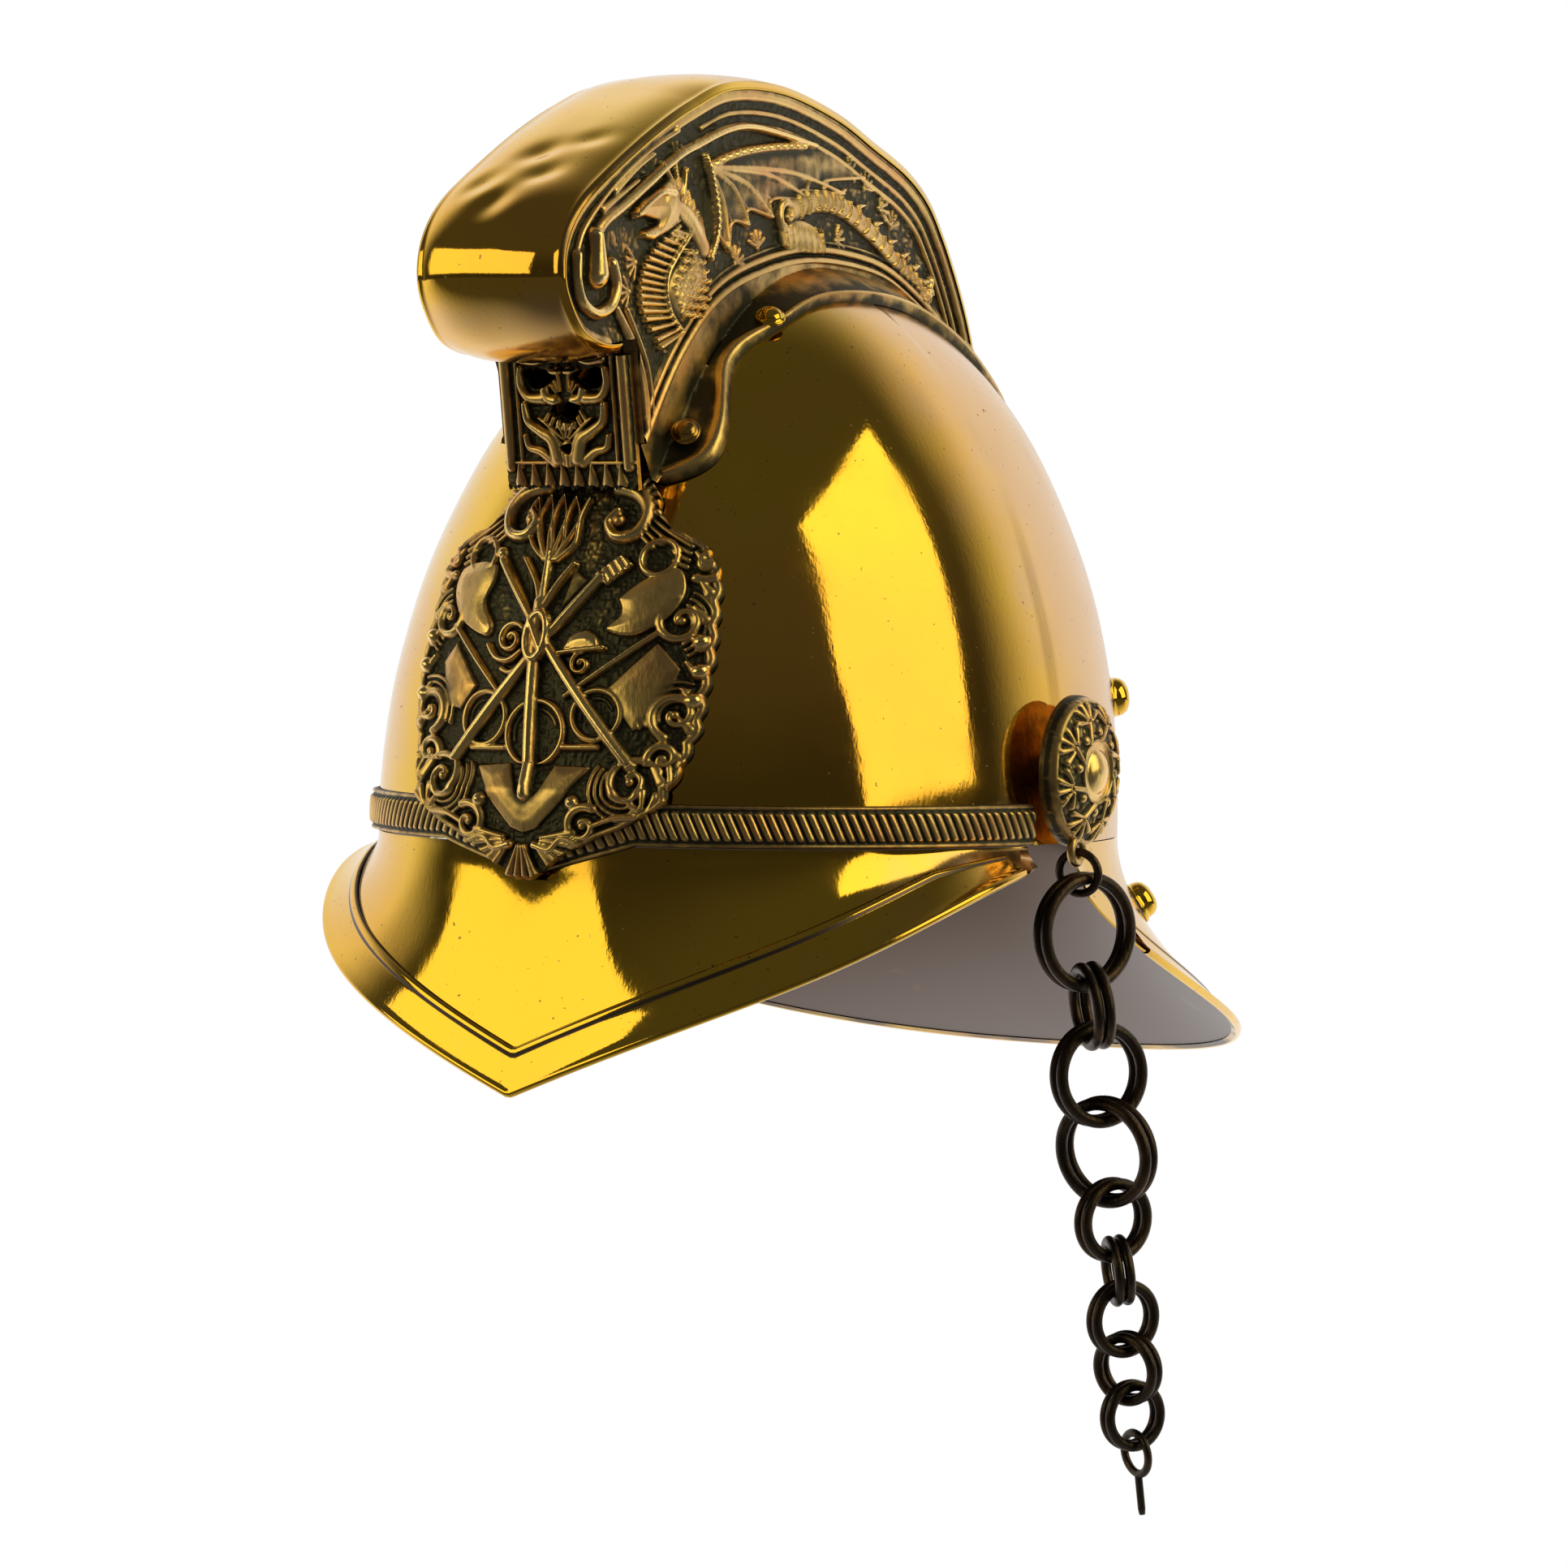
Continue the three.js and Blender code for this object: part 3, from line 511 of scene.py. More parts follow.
    def stipple(self, depth: float, pitch: float, below: float, seed: int) -> "Relief":
        """Roughens the ground between the raised pieces.

        Args:
            depth: Height of the grain.
            pitch: Size of the grain.
            below: Height under which it counts as ground.
            seed: Seed of the grain.

        Returns:
            This relief.
        """
        grain = np.abs(patches_of_noise(self.a, self.b, pitch, seed))
        self.height += depth * grain * (1 - step(0.4 * below, below, self.height))
        return self

    def worn(self, reach: int, gain: float) -> Array:
        """How far each point stands out of its surroundings: where hands and polish have rubbed it bright.

        Args:
            reach: Cells over which the surroundings are averaged.
            gain: Change for each millimetre.

        Returns:
            Values from 0 in the hollows to 1 on the tops.
        """
        out = self.height - blur(self.height, reach)
        return np.clip(GROUND_WEAR + gain * out + 0.06 * self.height, 0, 1)


@dataclass
class Patch:
    """Grid of points that becomes quads. Its front is where columns x rows points."""

    points: Array
    worn: Array | float = 0.5
    wrap: bool = False
    keep: Array | None = None

    def flipped(self) -> "Patch":
        """The same patch with its front behind.

        Returns:
            A new patch with its rows in the other order.
        """
        worn = self.worn[::-1] if isinstance(self.worn, np.ndarray) else self.worn
        keep = None if self.keep is None else self.keep[::-1]
        return Patch(self.points[::-1], worn, self.wrap, keep)


def shell(outer: Array, inner: Array, worn: Array | float = 0.5, wrap: bool = False) -> list[Patch]:
    """Patches of a closed sheet: its two faces and the walls between their edges.

    Args:
        outer: Outer face, rows x columns x 3.
        inner: Inner face of the same shape.
        worn: Wear of the outer face.
        wrap: Whether the columns close on themselves.

    Returns:
        The patches.
    """
    made = [Patch(outer, worn, wrap), Patch(inner, INSIDE_WEAR, wrap).flipped()]
    made.append(Patch(np.stack([inner[0], outer[0]]), WALL_WEAR, wrap))
    made.append(Patch(np.stack([outer[-1], inner[-1]]), WALL_WEAR, wrap))
    if not wrap:
        made.append(Patch(np.stack([outer[:, 0], inner[:, 0]]), WALL_WEAR))
        made.append(Patch(np.stack([inner[:, -1], outer[:, -1]]), WALL_WEAR))
    return made


def make_piece(name: str, patches: Sequence[Patch], slot: Slot, nodes: Sequence[str],
               inside_out: bool = False) -> bpy.types.Object:
    """Makes one mesh object of patches and ties it to the CAD part.

    Args:
        name: Name of the piece.
        patches: Its grids, in millimetres.
        slot: Material slot that it takes its finish from.
        nodes: CAD nodes that it stands for.
        inside_out: Whether its faces have to be turned round.

    Returns:
        The object.
    """
    verts, faces, worn = [], [], []
    start = 0
    for patch in patches:
        rows, columns = patch.points.shape[:2]
        quads = start + grid_quads(rows, columns, patch.wrap)
        quads = quads[patch.keep] if patch.keep is not None else quads.reshape(-1, 4)
        faces.append(quads[:, ::-1] if inside_out else quads)
        verts.append(patch.points.reshape(-1, 3))
        worn.append(np.broadcast_to(patch.worn, (rows, columns)).ravel())
        start += rows * columns
    points = np.concatenate(verts) * MM
    quads = np.concatenate(faces)
    mesh = bpy.data.meshes.new(name)
    mesh.vertices.add(len(points))
    mesh.vertices.foreach_set("co", points.astype(np.float32).ravel())
    mesh.loops.add(quads.size)
    mesh.loops.foreach_set("vertex_index", quads.astype(np.int32).ravel())
    mesh.polygons.add(len(quads))
    mesh.polygons.foreach_set("loop_start", np.arange(0, quads.size, 4, dtype=np.int32))
    mesh.polygons.foreach_set("use_smooth", np.ones(len(quads), bool))
    mesh.update(calc_edges=True)
    mesh.validate()
    attribute = mesh.attributes.new("worn", "FLOAT", "POINT")
    attribute.data.foreach_set("value", np.concatenate(worn).astype(np.float32))
    mesh.materials.append(FINISHES[slot])
    piece = bpy.data.objects.new(name, mesh)
    bpy.context.scene.collection.objects.link(piece)
    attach(piece, ROOT)
    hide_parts(*nodes)
    LOG.info("%s: %d quads for %s", name, len(quads), ", ".join(nodes))
    return piece


@dataclass(frozen=True)
class Finish:
    """Look of one metal, from its clean colour to what lies in its hollows.

    Attributes:
        clean: Colour of the clean metal.
        tint: Second colour, in soft patches on the first.
        dark: Colour of grime and patina.
        rubbed: Colour where polish has hazed it or hands have rubbed it bright.
        rough_clean: Roughness of the clean metal.
        rough_dark: Roughness of the grime.
        rough_rubbed: Roughness of the rubbed metal.
        patch_scale: Scale of the tint patches.
        speck_share: Noise value over which a dark speck lies.
        grain: Scale of the unevenness of the wear.
        grime: Wear up to which all is grime, and wear from which there is none.
        bump: Strength of the fine grain.
    """

    clean: Colour
    tint: Colour
    dark: Colour
    rubbed: Colour
    rough_clean: float
    rough_dark: float
    rough_rubbed: float
    patch_scale: float
    speck_share: float
    grain: float
    grime: tuple[float, float]
    bump: float


FINISH_OF = {
    Slot.POLISHED: Finish(
        clean=(0.87, 0.52, 0.05), tint=(0.82, 0.42, 0.06),
        dark=(0.14, 0.10, 0.082), rubbed=(0.78, 0.48, 0.215),
        rough_clean=0.055, rough_dark=0.34, rough_rubbed=0.21,
        patch_scale=9.0, speck_share=0.70, grain=38.0, grime=(0.24, 0.42), bump=0.04,
    ),
    Slot.CAST: Finish(
        clean=(0.86, 0.57, 0.20), tint=(0.82, 0.45, 0.16),
        dark=(0.074, 0.066, 0.042), rubbed=(1.0, 0.69, 0.26),
        rough_clean=0.32, rough_dark=0.52, rough_rubbed=0.20,
        patch_scale=40.0, speck_share=0.73, grain=260.0, grime=(0.30, 0.66), bump=0.22,
    ),
    Slot.BRONZE: Finish(
        clean=(0.055, 0.040, 0.030), tint=(0.09, 0.058, 0.036),
        dark=(0.016, 0.012, 0.010), rubbed=(0.09, 0.07, 0.05),
        rough_clean=0.36, rough_dark=0.6, rough_rubbed=0.3,
        patch_scale=90.0, speck_share=0.74, grain=38.0, grime=(0.24, 0.42), bump=0.5,
    ),
}

# Scales of the noises that all finishes share, and how far the wear swings with its own
SPECK_SCALE = 620.0
SMEAR_SCALE = 34.0
GRAIN_SCALE = 900.0
GRAIN_DEPTH = 0.0004
WEAR_SWING = 0.34
RUBBED_FROM = 0.72


class NodeBook:
    """Short hand for the node tree of one material or world."""

    def __init__(self, owner: bpy.types.Material | bpy.types.World) -> None:
        """Opens the tree.

        Args:
            owner: Material or world that the tree belongs to.
        """
        owner.use_nodes = True
        self.tree = owner.node_tree
        self.place = self.node("ShaderNodeTexCoord").outputs["Object"]

    def node(self, kind: str) -> bpy.types.Node:
        """Adds a node.

        Args:
            kind: Blender's name of its type.

        Returns:
            The node.
        """
        return self.tree.nodes.new(kind)

    def link(self, source: Socket, target: Socket) -> None:
        """Joins two sockets.

        Args:
            source: Output socket.
            target: Input socket.
        """
        self.tree.links.new(source, target)

    def fill(self, target: Socket, value: float | Colour | Socket) -> None:
        """Sets an input to a constant, or joins it to an output.

        Args:
            target: Input socket.
            value: Number, colour or output socket.
        """
        if isinstance(value, bpy.types.NodeSocket):
            self.link(value, target)
        else:
            target.default_value = (*value, 1.0) if isinstance(value, tuple) else value

    def noise(self, scale: float, detail: float = 3.0, stretch: Colour = (1, 1, 1)) -> Socket:
        """Noise in object coordinates.

        Args:
            scale: Patches for each metre.
            detail: Octaves.
            stretch: Scale along each axis.

        Returns:
            Its value socket.
        """
        mapping = self.node("ShaderNodeMapping")
        mapping.inputs["Scale"].default_value = stretch
        self.link(self.place, mapping.inputs["Vector"])
        node = self.node("ShaderNodeTexNoise")
        node.inputs["Scale"].default_value = scale
        node.inputs["Detail"].default_value = detail
        self.link(mapping.outputs["Vector"], node.inputs["Vector"])
        return node.outputs["Fac"]

    def spread(self, value: Socket, low: float, high: float,
               to_low: float = 0.0, to_high: float = 1.0) -> Socket:
        """Maps a range of values to another by a smooth step, held at both ends.

        Args:
            value: Socket to map.
            low: Start of its range.
            high: End of its range.
            to_low: Value at the start.
            to_high: Value at the end.

        Returns:
            The mapped value's socket.
        """
        node = self.node("ShaderNodeMapRange")
        node.interpolation_type = "SMOOTHSTEP"
        self.link(value, node.inputs["Value"])
        for socket, number in zip(("From Min", "From Max", "To Min", "To Max"), (low, high, to_low, to_high)):
            node.inputs[socket].default_value = number
        return node.outputs["Result"]

    def blend(self, share: Socket, low: Colour | Socket, high: Colour | Socket) -> Socket:
        """Mixes two colours.

        Args:
            share: Socket with the share of the second.
            low: First colour, or its socket.
            high: Second colour, or its socket.

        Returns:
            The mixed colour's socket.
        """
        node = self.node("ShaderNodeMix")
        node.data_type = "RGBA"
        self.link(share, node.inputs[0])
        self.fill(node.inputs[6], low)
        self.fill(node.inputs[7], high)
        return node.outputs[2]

    def math(self, operation: str, *values: float | Socket) -> Socket:
        """Arithmetic on two or three values.

        Args:
            operation: Name of the operation.
            *values: Numbers or sockets.

        Returns:
            The result's socket.
        """
        node = self.node("ShaderNodeMath")
        node.operation = operation
        for socket, value in zip(node.inputs, values):
            self.fill(socket, value)
        return node.outputs[0]

    def along(self, vector: Socket, direction: Vector) -> Socket:
        """Part of a vector that lies along a level direction: their dot product.

        Args:
            vector: Socket with the vector.
            direction: The direction, of which only x and y count.

        Returns:
            The product's socket.
        """
        node = self.node("ShaderNodeVectorMath")
        node.operation = "DOT_PRODUCT"
        self.link(vector, node.inputs[0])
        node.inputs[1].default_value = (direction.x, direction.y, 0.0)
        return node.outputs["Value"]

    def camera_ray(self) -> Socket:
        """1 for rays straight from the camera, 0 for reflected ones.

        Returns:
            Its socket.
        """
        return self.node("ShaderNodeLightPath").outputs["Is Camera Ray"]

    def attribute(self, name: str) -> Socket:
        """Value stored on the mesh's points.

        Args:
            name: Name of the attribute.

        Returns:
            Its socket.
        """
        node = self.node("ShaderNodeAttribute")
        node.attribute_name = name
        return node.outputs["Fac"]


def build_finish(slot: Slot, finish: Finish) -> bpy.types.Material:
    """Makes the material of a metal: patches of tint, specks, rubbed tops and dark hollows.

    Args:
        slot: Slot that names it.
        finish: Its look.

    Returns:
        The material.
    """
    material = bpy.data.materials.new(slot.value)
    book = NodeBook(material)
    shader = material.node_tree.nodes["Principled BSDF"]
    uneven = book.math("MULTIPLY_ADD", book.noise(finish.grain, 4.0), WEAR_SWING, -WEAR_SWING / 2)
    wear = book.math("ADD", book.attribute("worn"), uneven)
    rubbed = book.spread(wear, RUBBED_FROM, 1.0)
    specks = book.spread(book.noise(SPECK_SCALE, 2.0), finish.speck_share, finish.speck_share + 0.05)
    grime = book.spread(wear, *finish.grime, 1.0, 0.0)
    dirt = book.math("MAXIMUM", book.math("MULTIPLY", specks, 0.8), grime)

    patchy = book.spread(book.noise(finish.patch_scale, 4.0), 0.42, 0.68)
    colour = book.blend(rubbed, book.blend(patchy, finish.clean, finish.tint), finish.rubbed)
    book.link(book.blend(dirt, colour, finish.dark), shader.inputs["Base Color"])

    smear = book.spread(book.noise(SMEAR_SCALE, 5.0), 0.35, 0.75, 0.0, 0.35)
    dull = book.spread(book.math("MAXIMUM", dirt, smear), 0.0, 1.0, finish.rough_clean, finish.rough_dark)
    rough = book.math("MULTIPLY_ADD", rubbed, finish.rough_rubbed - finish.rough_clean, dull)
    book.link(rough, shader.inputs["Roughness"])
    shader.inputs["Metallic"].default_value = 1.0

    bump = book.node("ShaderNodeBump")
    bump.inputs["Strength"].default_value = finish.bump
    bump.inputs["Distance"].default_value = GRAIN_DEPTH
    book.link(book.noise(GRAIN_SCALE, 3.0, (1.0, 1.0, 0.35)), bump.inputs["Height"])
    book.link(bump.outputs["Normal"], shader.inputs["Normal"])
    return material


FINISHES = {slot: build_finish(slot, finish) for slot, finish in FINISH_OF.items()}


@dataclass(frozen=True)
class SkullForm:
    """Outside form of the skull, on which the other pieces are laid."""

    half_width: float = 99.0
    front: float = 116.0
    rear: float = 118.0
    height: float = 158.0
    top_y: float = 2.3
    side_power: float = 1.91
    front_power: float = 1.78
    rear_power: float = 2.82
    plan_front: float = 2.15
    plan_rear: float = 2.05
    wall: float = 0.9
    joint_z: float = -3.4
    seam: float = 0.3

    def narrowing(self, z: Array, height: float, power: float) -> Array:
        """Share of the full half axis that is left at a height: sqrt(1 - (z / height)^power).

        Args:
            z: Heights.
            height: Height of the top.
            power: Shape of the profile.

        Returns:
            Shares from 1 at the foot to 0 at the top.
        """
        return np.sqrt(np.maximum(0, 1 - np.clip(z / height, 0, 1) ** power))

    def axes(self, z: Array, in_front: Array, out: Array | float) -> tuple[Array, Array, Array]:
        """Half axes of the plan at a height.

        Args:
            z: Heights.
            in_front: Whether the point is on the front half.
            out: Distance that the form is grown by.

        Returns:
            Half width, half depth and exponent of the superellipse.
        """
        height = self.height + out
        wide = (self.half_width + out) * self.narrowing(z, height, self.side_power)
        front = (self.front + self.top_y + out) * self.narrowing(z, height, self.front_power)
        rear = (self.rear - self.top_y + out) * self.narrowing(z, height, self.rear_power)
        return wide, np.where(in_front, front, rear), np.where(in_front, self.plan_front, self.plan_rear)

    def point(self, angle: Array, z: Array, out: Array | float = 0.0) -> Array:
        """Points of the skull by angle from the front, positive to the wearer's left, and height.

        Args:
            angle: Angles in radians.
            z: Heights.
            out: Distance that the form is grown by.

        Returns:
            Points, with a last axis of 3.
        """
        wide, deep, power = self.axes(z, np.cos(angle) > 0, out)
        x = wide * np.sign(np.sin(angle)) * np.abs(np.sin(angle)) ** (2 / power)
        y = self.top_y - np.sign(np.cos(angle)) * deep * np.abs(np.cos(angle)) ** (2 / power)
        return np.stack([x, y, z + 0 * x], axis=-1)

    def front_y(self, x: Array, z: Array, out: Array | float = 0.0) -> Array:
        """Front face over a place given by x and z.

        Args:
            x: Places across.
            z: Heights.
            out: Distance that the form is grown by.

        Returns:
            Y of the face.
        """
        wide, deep, power = self.axes(z, np.ones_like(z, bool), out)
        return self.top_y - deep * np.maximum(0, 1 - np.abs(x / wide) ** power) ** (1 / power)

    def side_x(self, y: Array, z: Array, out: Array | float = 0.0) -> Array:
        """Side face over a place given by y and z.

        Args:
            y: Places along.
            z: Heights.
            out: Distance that the form is grown by.

        Returns:
            X of the left face.
        """
        wide, deep, power = self.axes(z, y < self.top_y, out)
        along = np.abs((y - self.top_y) / np.maximum(deep, 1e-6))
        return wide * np.maximum(0, 1 - along**power) ** (1 / power)


SKULL = SkullForm()


@dataclass
class SkullShell:
    """Beaten skull: the smooth form with the shallow waves and dents of hand work."""

    wave: float = 0.50
    wave_pitch: float = 40.0
    ripple: float = 0.10
    ripple_pitch: float = 18.0
    dent: float = 0.175
    dents: tuple[tuple[float, float, float], ...] = (
        (0.62, 0.30, 9.0), (0.70, 0.52, 12.0), (0.30, 0.40, 11.0), (0.05, 0.35, 14.0),
    )
    girth_radius: float = 100.0
    climb: float = 170.0
    rows: int = 120
    columns: int = 300

    def wear(self, base: Array) -> Array:
        """Wear of the outer face: grime over the band and round the ears, haze at the rear and on the right.

        Args:
            base: Points of the face.

        Returns:
            Wear of each point.
        """
        x, y, z = (base[..., k] for k in range(3))
        band_grime = 0.22 * step(25, -25, y) * np.exp(-(((z - 7) / 6) ** 2))
        ear_grime = 0.16 * np.exp(-((np.hypot(y + 4, z - 16) / 30) ** 2))
        rear_haze = 0.36 * step(-42, 32, y + 0.14 * z)
        right_haze = 0.20 * step(-22, -60, x)
        return CLEAN_WEAR - band_grime - ear_grime + np.maximum(rear_haze, right_haze)

    def build(self) -> None:
        """Lays the skull: height is the top times sin(v * 90 degrees), and waves move it along its normal."""
        u, v = lattice(self.rows, self.columns + 1)
        u, v = u[:, :-1], v[:, :-1]
        angle = (u - 0.5) * 2 * np.pi
        foot = SKULL.joint_z + SKULL.seam / 2
        z = mix(foot, SKULL.height, np.sin(v * np.pi / 2))
        base = SKULL.point(angle, z)
        x, y = base[..., 0], base[..., 1]
        waves = self.wave * patches_of_noise(x + 0.6 * y, z + 0.3 * x * np.sign(y + 1e-9), self.wave_pitch, 5)
        waves += self.ripple * patches_of_noise(x, z, self.ripple_pitch, 8)
        for turn, up, size in self.dents:
            away = np.hypot((angle - (turn - 0.5) * 2 * np.pi) * self.girth_radius, (v - up) * self.climb)
            waves -= self.dent * np.exp(-((away / size) ** 2))
        waves *= step(0, 12, z - foot) * step(1.0, 0.9, v)
        outer = base + base / np.linalg.norm(base, axis=-1, keepdims=True) * waves[..., None]
        inner = SKULL.point(angle, z * (1 - SKULL.wall / SKULL.height), -SKULL.wall)
        make_piece("skull_shell", shell(outer, inner, self.wear(base), True), Slot.POLISHED, ["skull"])


@dataclass(frozen=True)
class Rim:
    """Rim of a peak, and how far round the skull its root runs.

    Attributes:
        reach: Distance of the tip from the origin.
        tip_z: Height of the tip.
        half_width: Half width of the rim.
        side_y: Y of the rim's ends.
        side_z: Height of the rim's ends.
        roundness: Exponent of the rim's plan.
        root: Angle from the tip at which the root ends.
        knee: Share of the drop after which the face flares out.
        tuck_out: Distance of the rim's ends from the skull.
        tuck_power: How late the rim draws in to the ear.
    """

    reach: float
    tip_z: float
    half_width: float
    side_y: float
    side_z: float
    roundness: float
    root: float
    knee: float = 0.42
    tuck_out: float = 1.8
    tuck_power: float = 14.0

    def across(self, turn: Array) -> Array:
        """Half width of the rim along its turn: it draws in where it comes to the ear.

        Args:
            turn: Angles from the tip, 0 to 90 degrees, in radians.

        Returns:
            Distances from the middle.
        """
        tuck = self.half_width - SKULL.half_width - self.tuck_out
        drawn_in = tuck * (turn / (np.pi / 2)) ** self.tuck_power
        return self.half_width * np.sin(turn) ** (2 / self.roundness) - drawn_in


# Section of the strip on the rim: share of its width from the inside, and height over the peak
EDGE_PROFILE: tuple[Point, ...] = (
    (0.00, 0.05), (0.01, 0.75), (0.05, 1.10), (0.12, 1.25), (0.19, 1.10), (0.24, 0.85), (0.30, 0.80),
    (0.50, 0.82), (0.80, 0.86), (0.92, 1.0), (0.97, 1.15), (1.00, 1.2),
)


@dataclass
class Peak:
    """One peak with the strip folded over its rim."""

    name: str
    rim: Rim
    rear: bool
    edge_width: float = 11.0
    lip: float = 3.2
    shortest: float = 0.45
    ear_share: float = 0.04
    straight: float = 0.74
    upturn: float = 6.5
    fall: float = 0.6
    wave: float = 0.30

    def rim_points(self, share: Array) -> Array:
        """Rim of the peak: a superellipse in the plan that falls to its tip.

        Args:
            share: -1 at the right ear, 0 at the tip, 1 at the left ear.

        Returns:
            Points of the rim.
        """
        rim = self.rim
        turn = np.minimum(1, np.abs(share)) * np.pi / 2
        x = np.sign(share) * rim.across(turn)
        forward = np.cos(turn) ** (2 / rim.roundness)
        y = mix(rim.side_y, rim.reach if self.rear else -rim.reach, forward)
        if self.rear:
            z = mix(rim.side_z, rim.tip_z, forward**self.fall)
        else:
            wide = np.sin(turn) ** (2 / rim.roundness)
            z = mix(rim.tip_z, rim.side_z, self.straight * wide + (1 - self.straight) * wide**self.upturn)
        return np.stack([x, y, z], axis=-1)

    def surface(self, u: Array, v: Array) -> Array:
        """Face of the peak: from the joint line straight down, then flaring out to the rim.

        Args:
            u: Shares from the left ear to the right ear.
            v: Shares from the joint to the rim.

        Returns:
            Points on a quadratic curve from the joint over the knee to the rim.
        """
        share = 1 - 2 * u
        angle = np.pi - share * (np.pi - self.rim.root) if self.rear else share * self.rim.root
        top = SKULL.point(angle, np.full_like(u, SKULL.joint_z - SKULL.seam / 2))
        end = self.rim_points(share)
        knee = top.copy()
        knee[..., 2] = mix(top[..., 2], end[..., 2], self.rim.knee)
        t = v[..., None]
        return (1 - t) ** 2 * top + 2 * t * (1 - t) * knee + t**2 * end

    def outward(self, u: Array, v: Array) -> Array:
        """Outward normals of the face.

        Args:
            u: Shares along the joint.
            v: Shares to the rim.

        Returns:
            Unit normals.
        """
        gap = 1e-3
        du = self.surface(u + gap, v) - self.surface(u - gap, v)
        dv = self.surface(u, v + gap) - self.surface(u, v - gap)
        normal = np.cross(du, dv) * (-1 if self.rear else 1)
        return normal / np.maximum(np.linalg.norm(normal, axis=-1, keepdims=True), 1e-9)

    def build(self) -> None:
        """Lays the peak and its edge strip."""
        u, v = lattice(48, 240)
        base = self.surface(u, v)
        normal = self.outward(np.clip(u, 0.002, 0.998), np.clip(v, 0.002, 0.998))
        wave = self.wave * patches_of_noise(base[..., 0], base[..., 1] + base[..., 2], 24.0, 21)
        outer = base + normal * (wave * step(0, 0.15, v))[..., None]
        inner = base - normal * SKULL.wall
        corner_haze = 0.3 * step(62, 100, np.abs(base[..., 0]))
        root_grime = 0.22 * step(0.12, 0.0, v)
        worn = CLEAN_WEAR + (0.22 if self.rear else corner_haze - root_grime)
        make_piece(f"{self.name}_shell", shell(outer, inner, worn), Slot.POLISHED, [self.name],
                   inside_out=self.rear)
        self.build_edge()

    def build_edge(self) -> None:
        """Lays the strip: a bead at its inner line, a flat run, a rolled rim and a lip turned in under it."""
        count = 300
        u = mix(self.ear_share, 1 - self.ear_share, np.linspace(0, 1, count))
        tip = self.surface(u, np.ones(count))
        drop = np.linalg.norm(tip - self.surface(u, np.zeros(count)), axis=-1)
        start = np.maximum(self.shortest, 1 - self.edge_width / drop)
        rows = []
        for share, out in EDGE_PROFILE:
            at = mix(start, 1.0, share)
            rows.append(self.surface(u, at) + self.outward(u, np.minimum(at, 0.998)) * out)
        normal = self.outward(u, np.full(count, 0.998))
        outwards = tip - self.surface(u, np.full(count, 0.97))
        outwards /= np.linalg.norm(outwards, axis=-1, keepdims=True)
        for turn in np.radians([20, 50, 90, 130, 160]):
            rows.append(tip + normal * (1.2 * math.cos(turn)) + outwards * (1.1 * math.sin(turn)))
        for back in (0.5, self.lip):
            rows.append(tip - normal * 1.15 - outwards * back)
        worn = np.full((len(rows), count), 0.78 if self.rear else 0.74)
        worn[:2] = worn[4:6] = INSIDE_WEAR
        worn[-2:] = 0.3
        make_piece(f"{self.name}_edge_strip", [Patch(np.stack(rows), worn)], Slot.POLISHED,
                   [f"{self.name}_edge"], inside_out=self.rear)


@dataclass
class RopeBand:
    """Corded band round the front, between two plain fillets."""

    height: float = 11.5
    level: float = 2.5
    dip: float = 8.5
    dip_angle: float = 0.28
    dip_clear: float = 0.4
    base: float = 1.1
    rise: float = 1.3
    fillet: float = 0.7
    turns: int = 104
    lean: float = 1.9
    end: float = 1.42

    def surface(self, angle: Array, share: Array) -> Array:
        """Back of the band on the skull, with its dip to a point under the badge.

        Args:
            angle: Angles from the front.
            share: 0 at its top edge, 1 at its bottom edge.

        Returns:
            Points on the skull.
        """
        dip = np.maximum(0, 1 - np.abs(angle) / self.dip_angle)
        z = self.level - dip * self.dip + (0.5 - share) * self.height
        return SKULL.point(angle, z, SKULL.seam + dip * self.dip_clear)

    def build(self) -> None:
        """Lays the band: the cords lean one way on each side of the front."""
        u, v = lattice(25, 2600)
        angle = mix(self.end, -self.end, u)
        base = self.surface(angle, v)
        normal = normals(base)
        normal *= np.sign(np.sum(normal * base, axis=-1, keepdims=True))
        phase = u * self.turns + np.where(u < 0.5, v, -v) * self.lean
        cord = np.sqrt(np.abs(np.sin(np.pi * phase)))
        body = step(0.13, 0.2, v) * step(0.87, 0.8, v)
        swell = np.sqrt(np.maximum(0, 1 - ((v - 0.5) / 0.5) ** 2))
        fillet = np.exp(-(((np.abs(v - 0.5) - 0.44) / 0.045) ** 2))
        height = self.base * step(0, 0.03, np.minimum(v, 1 - v)) + self.fillet * fillet
        height += self.rise * body * cord * (0.4 + 0.6 * swell)
        worn = np.clip(0.15 + 0.62 * body * cord**2.2 * swell + 0.45 * fillet, 0, 1)
        outer = base + normal * height[..., None]
        make_piece("rope_band_cords", [Patch(outer, worn)], Slot.CAST, ["rope_band"])


# Lines of the comb's side view, as y and z: its back, the underside of its nose, its foot on the skull and
# the wavy edge of the flange below the foot
COMB_OUTLINE: tuple[Point, ...] = (
    (-140, 148), (-138, 156), (-132, 163.6), (-121, 171.4), (-96.5, 185.4), (-76, 195), (-56, 201.7),
    (-28.5, 203), (1.5, 198.5), (23.5, 192), (42.5, 186), (55.5, 179), (64.5, 170), (71.5, 161),
    (77.5, 152), (82.5, 143), (86, 134), (90, 117),
)
NOSE_UNDERSIDE: tuple[Point, ...] = ((-104, 133), (-113, 130), (-122, 130), (-131, 133), (-138, 141))
FOOT_LINE: tuple[Point, ...] = (
    (-99, 104), (-82, 127), (-62, 144), (-38, 153), (-10, 158), (24, 157), (46, 151), (66, 141), (86, 122),
)
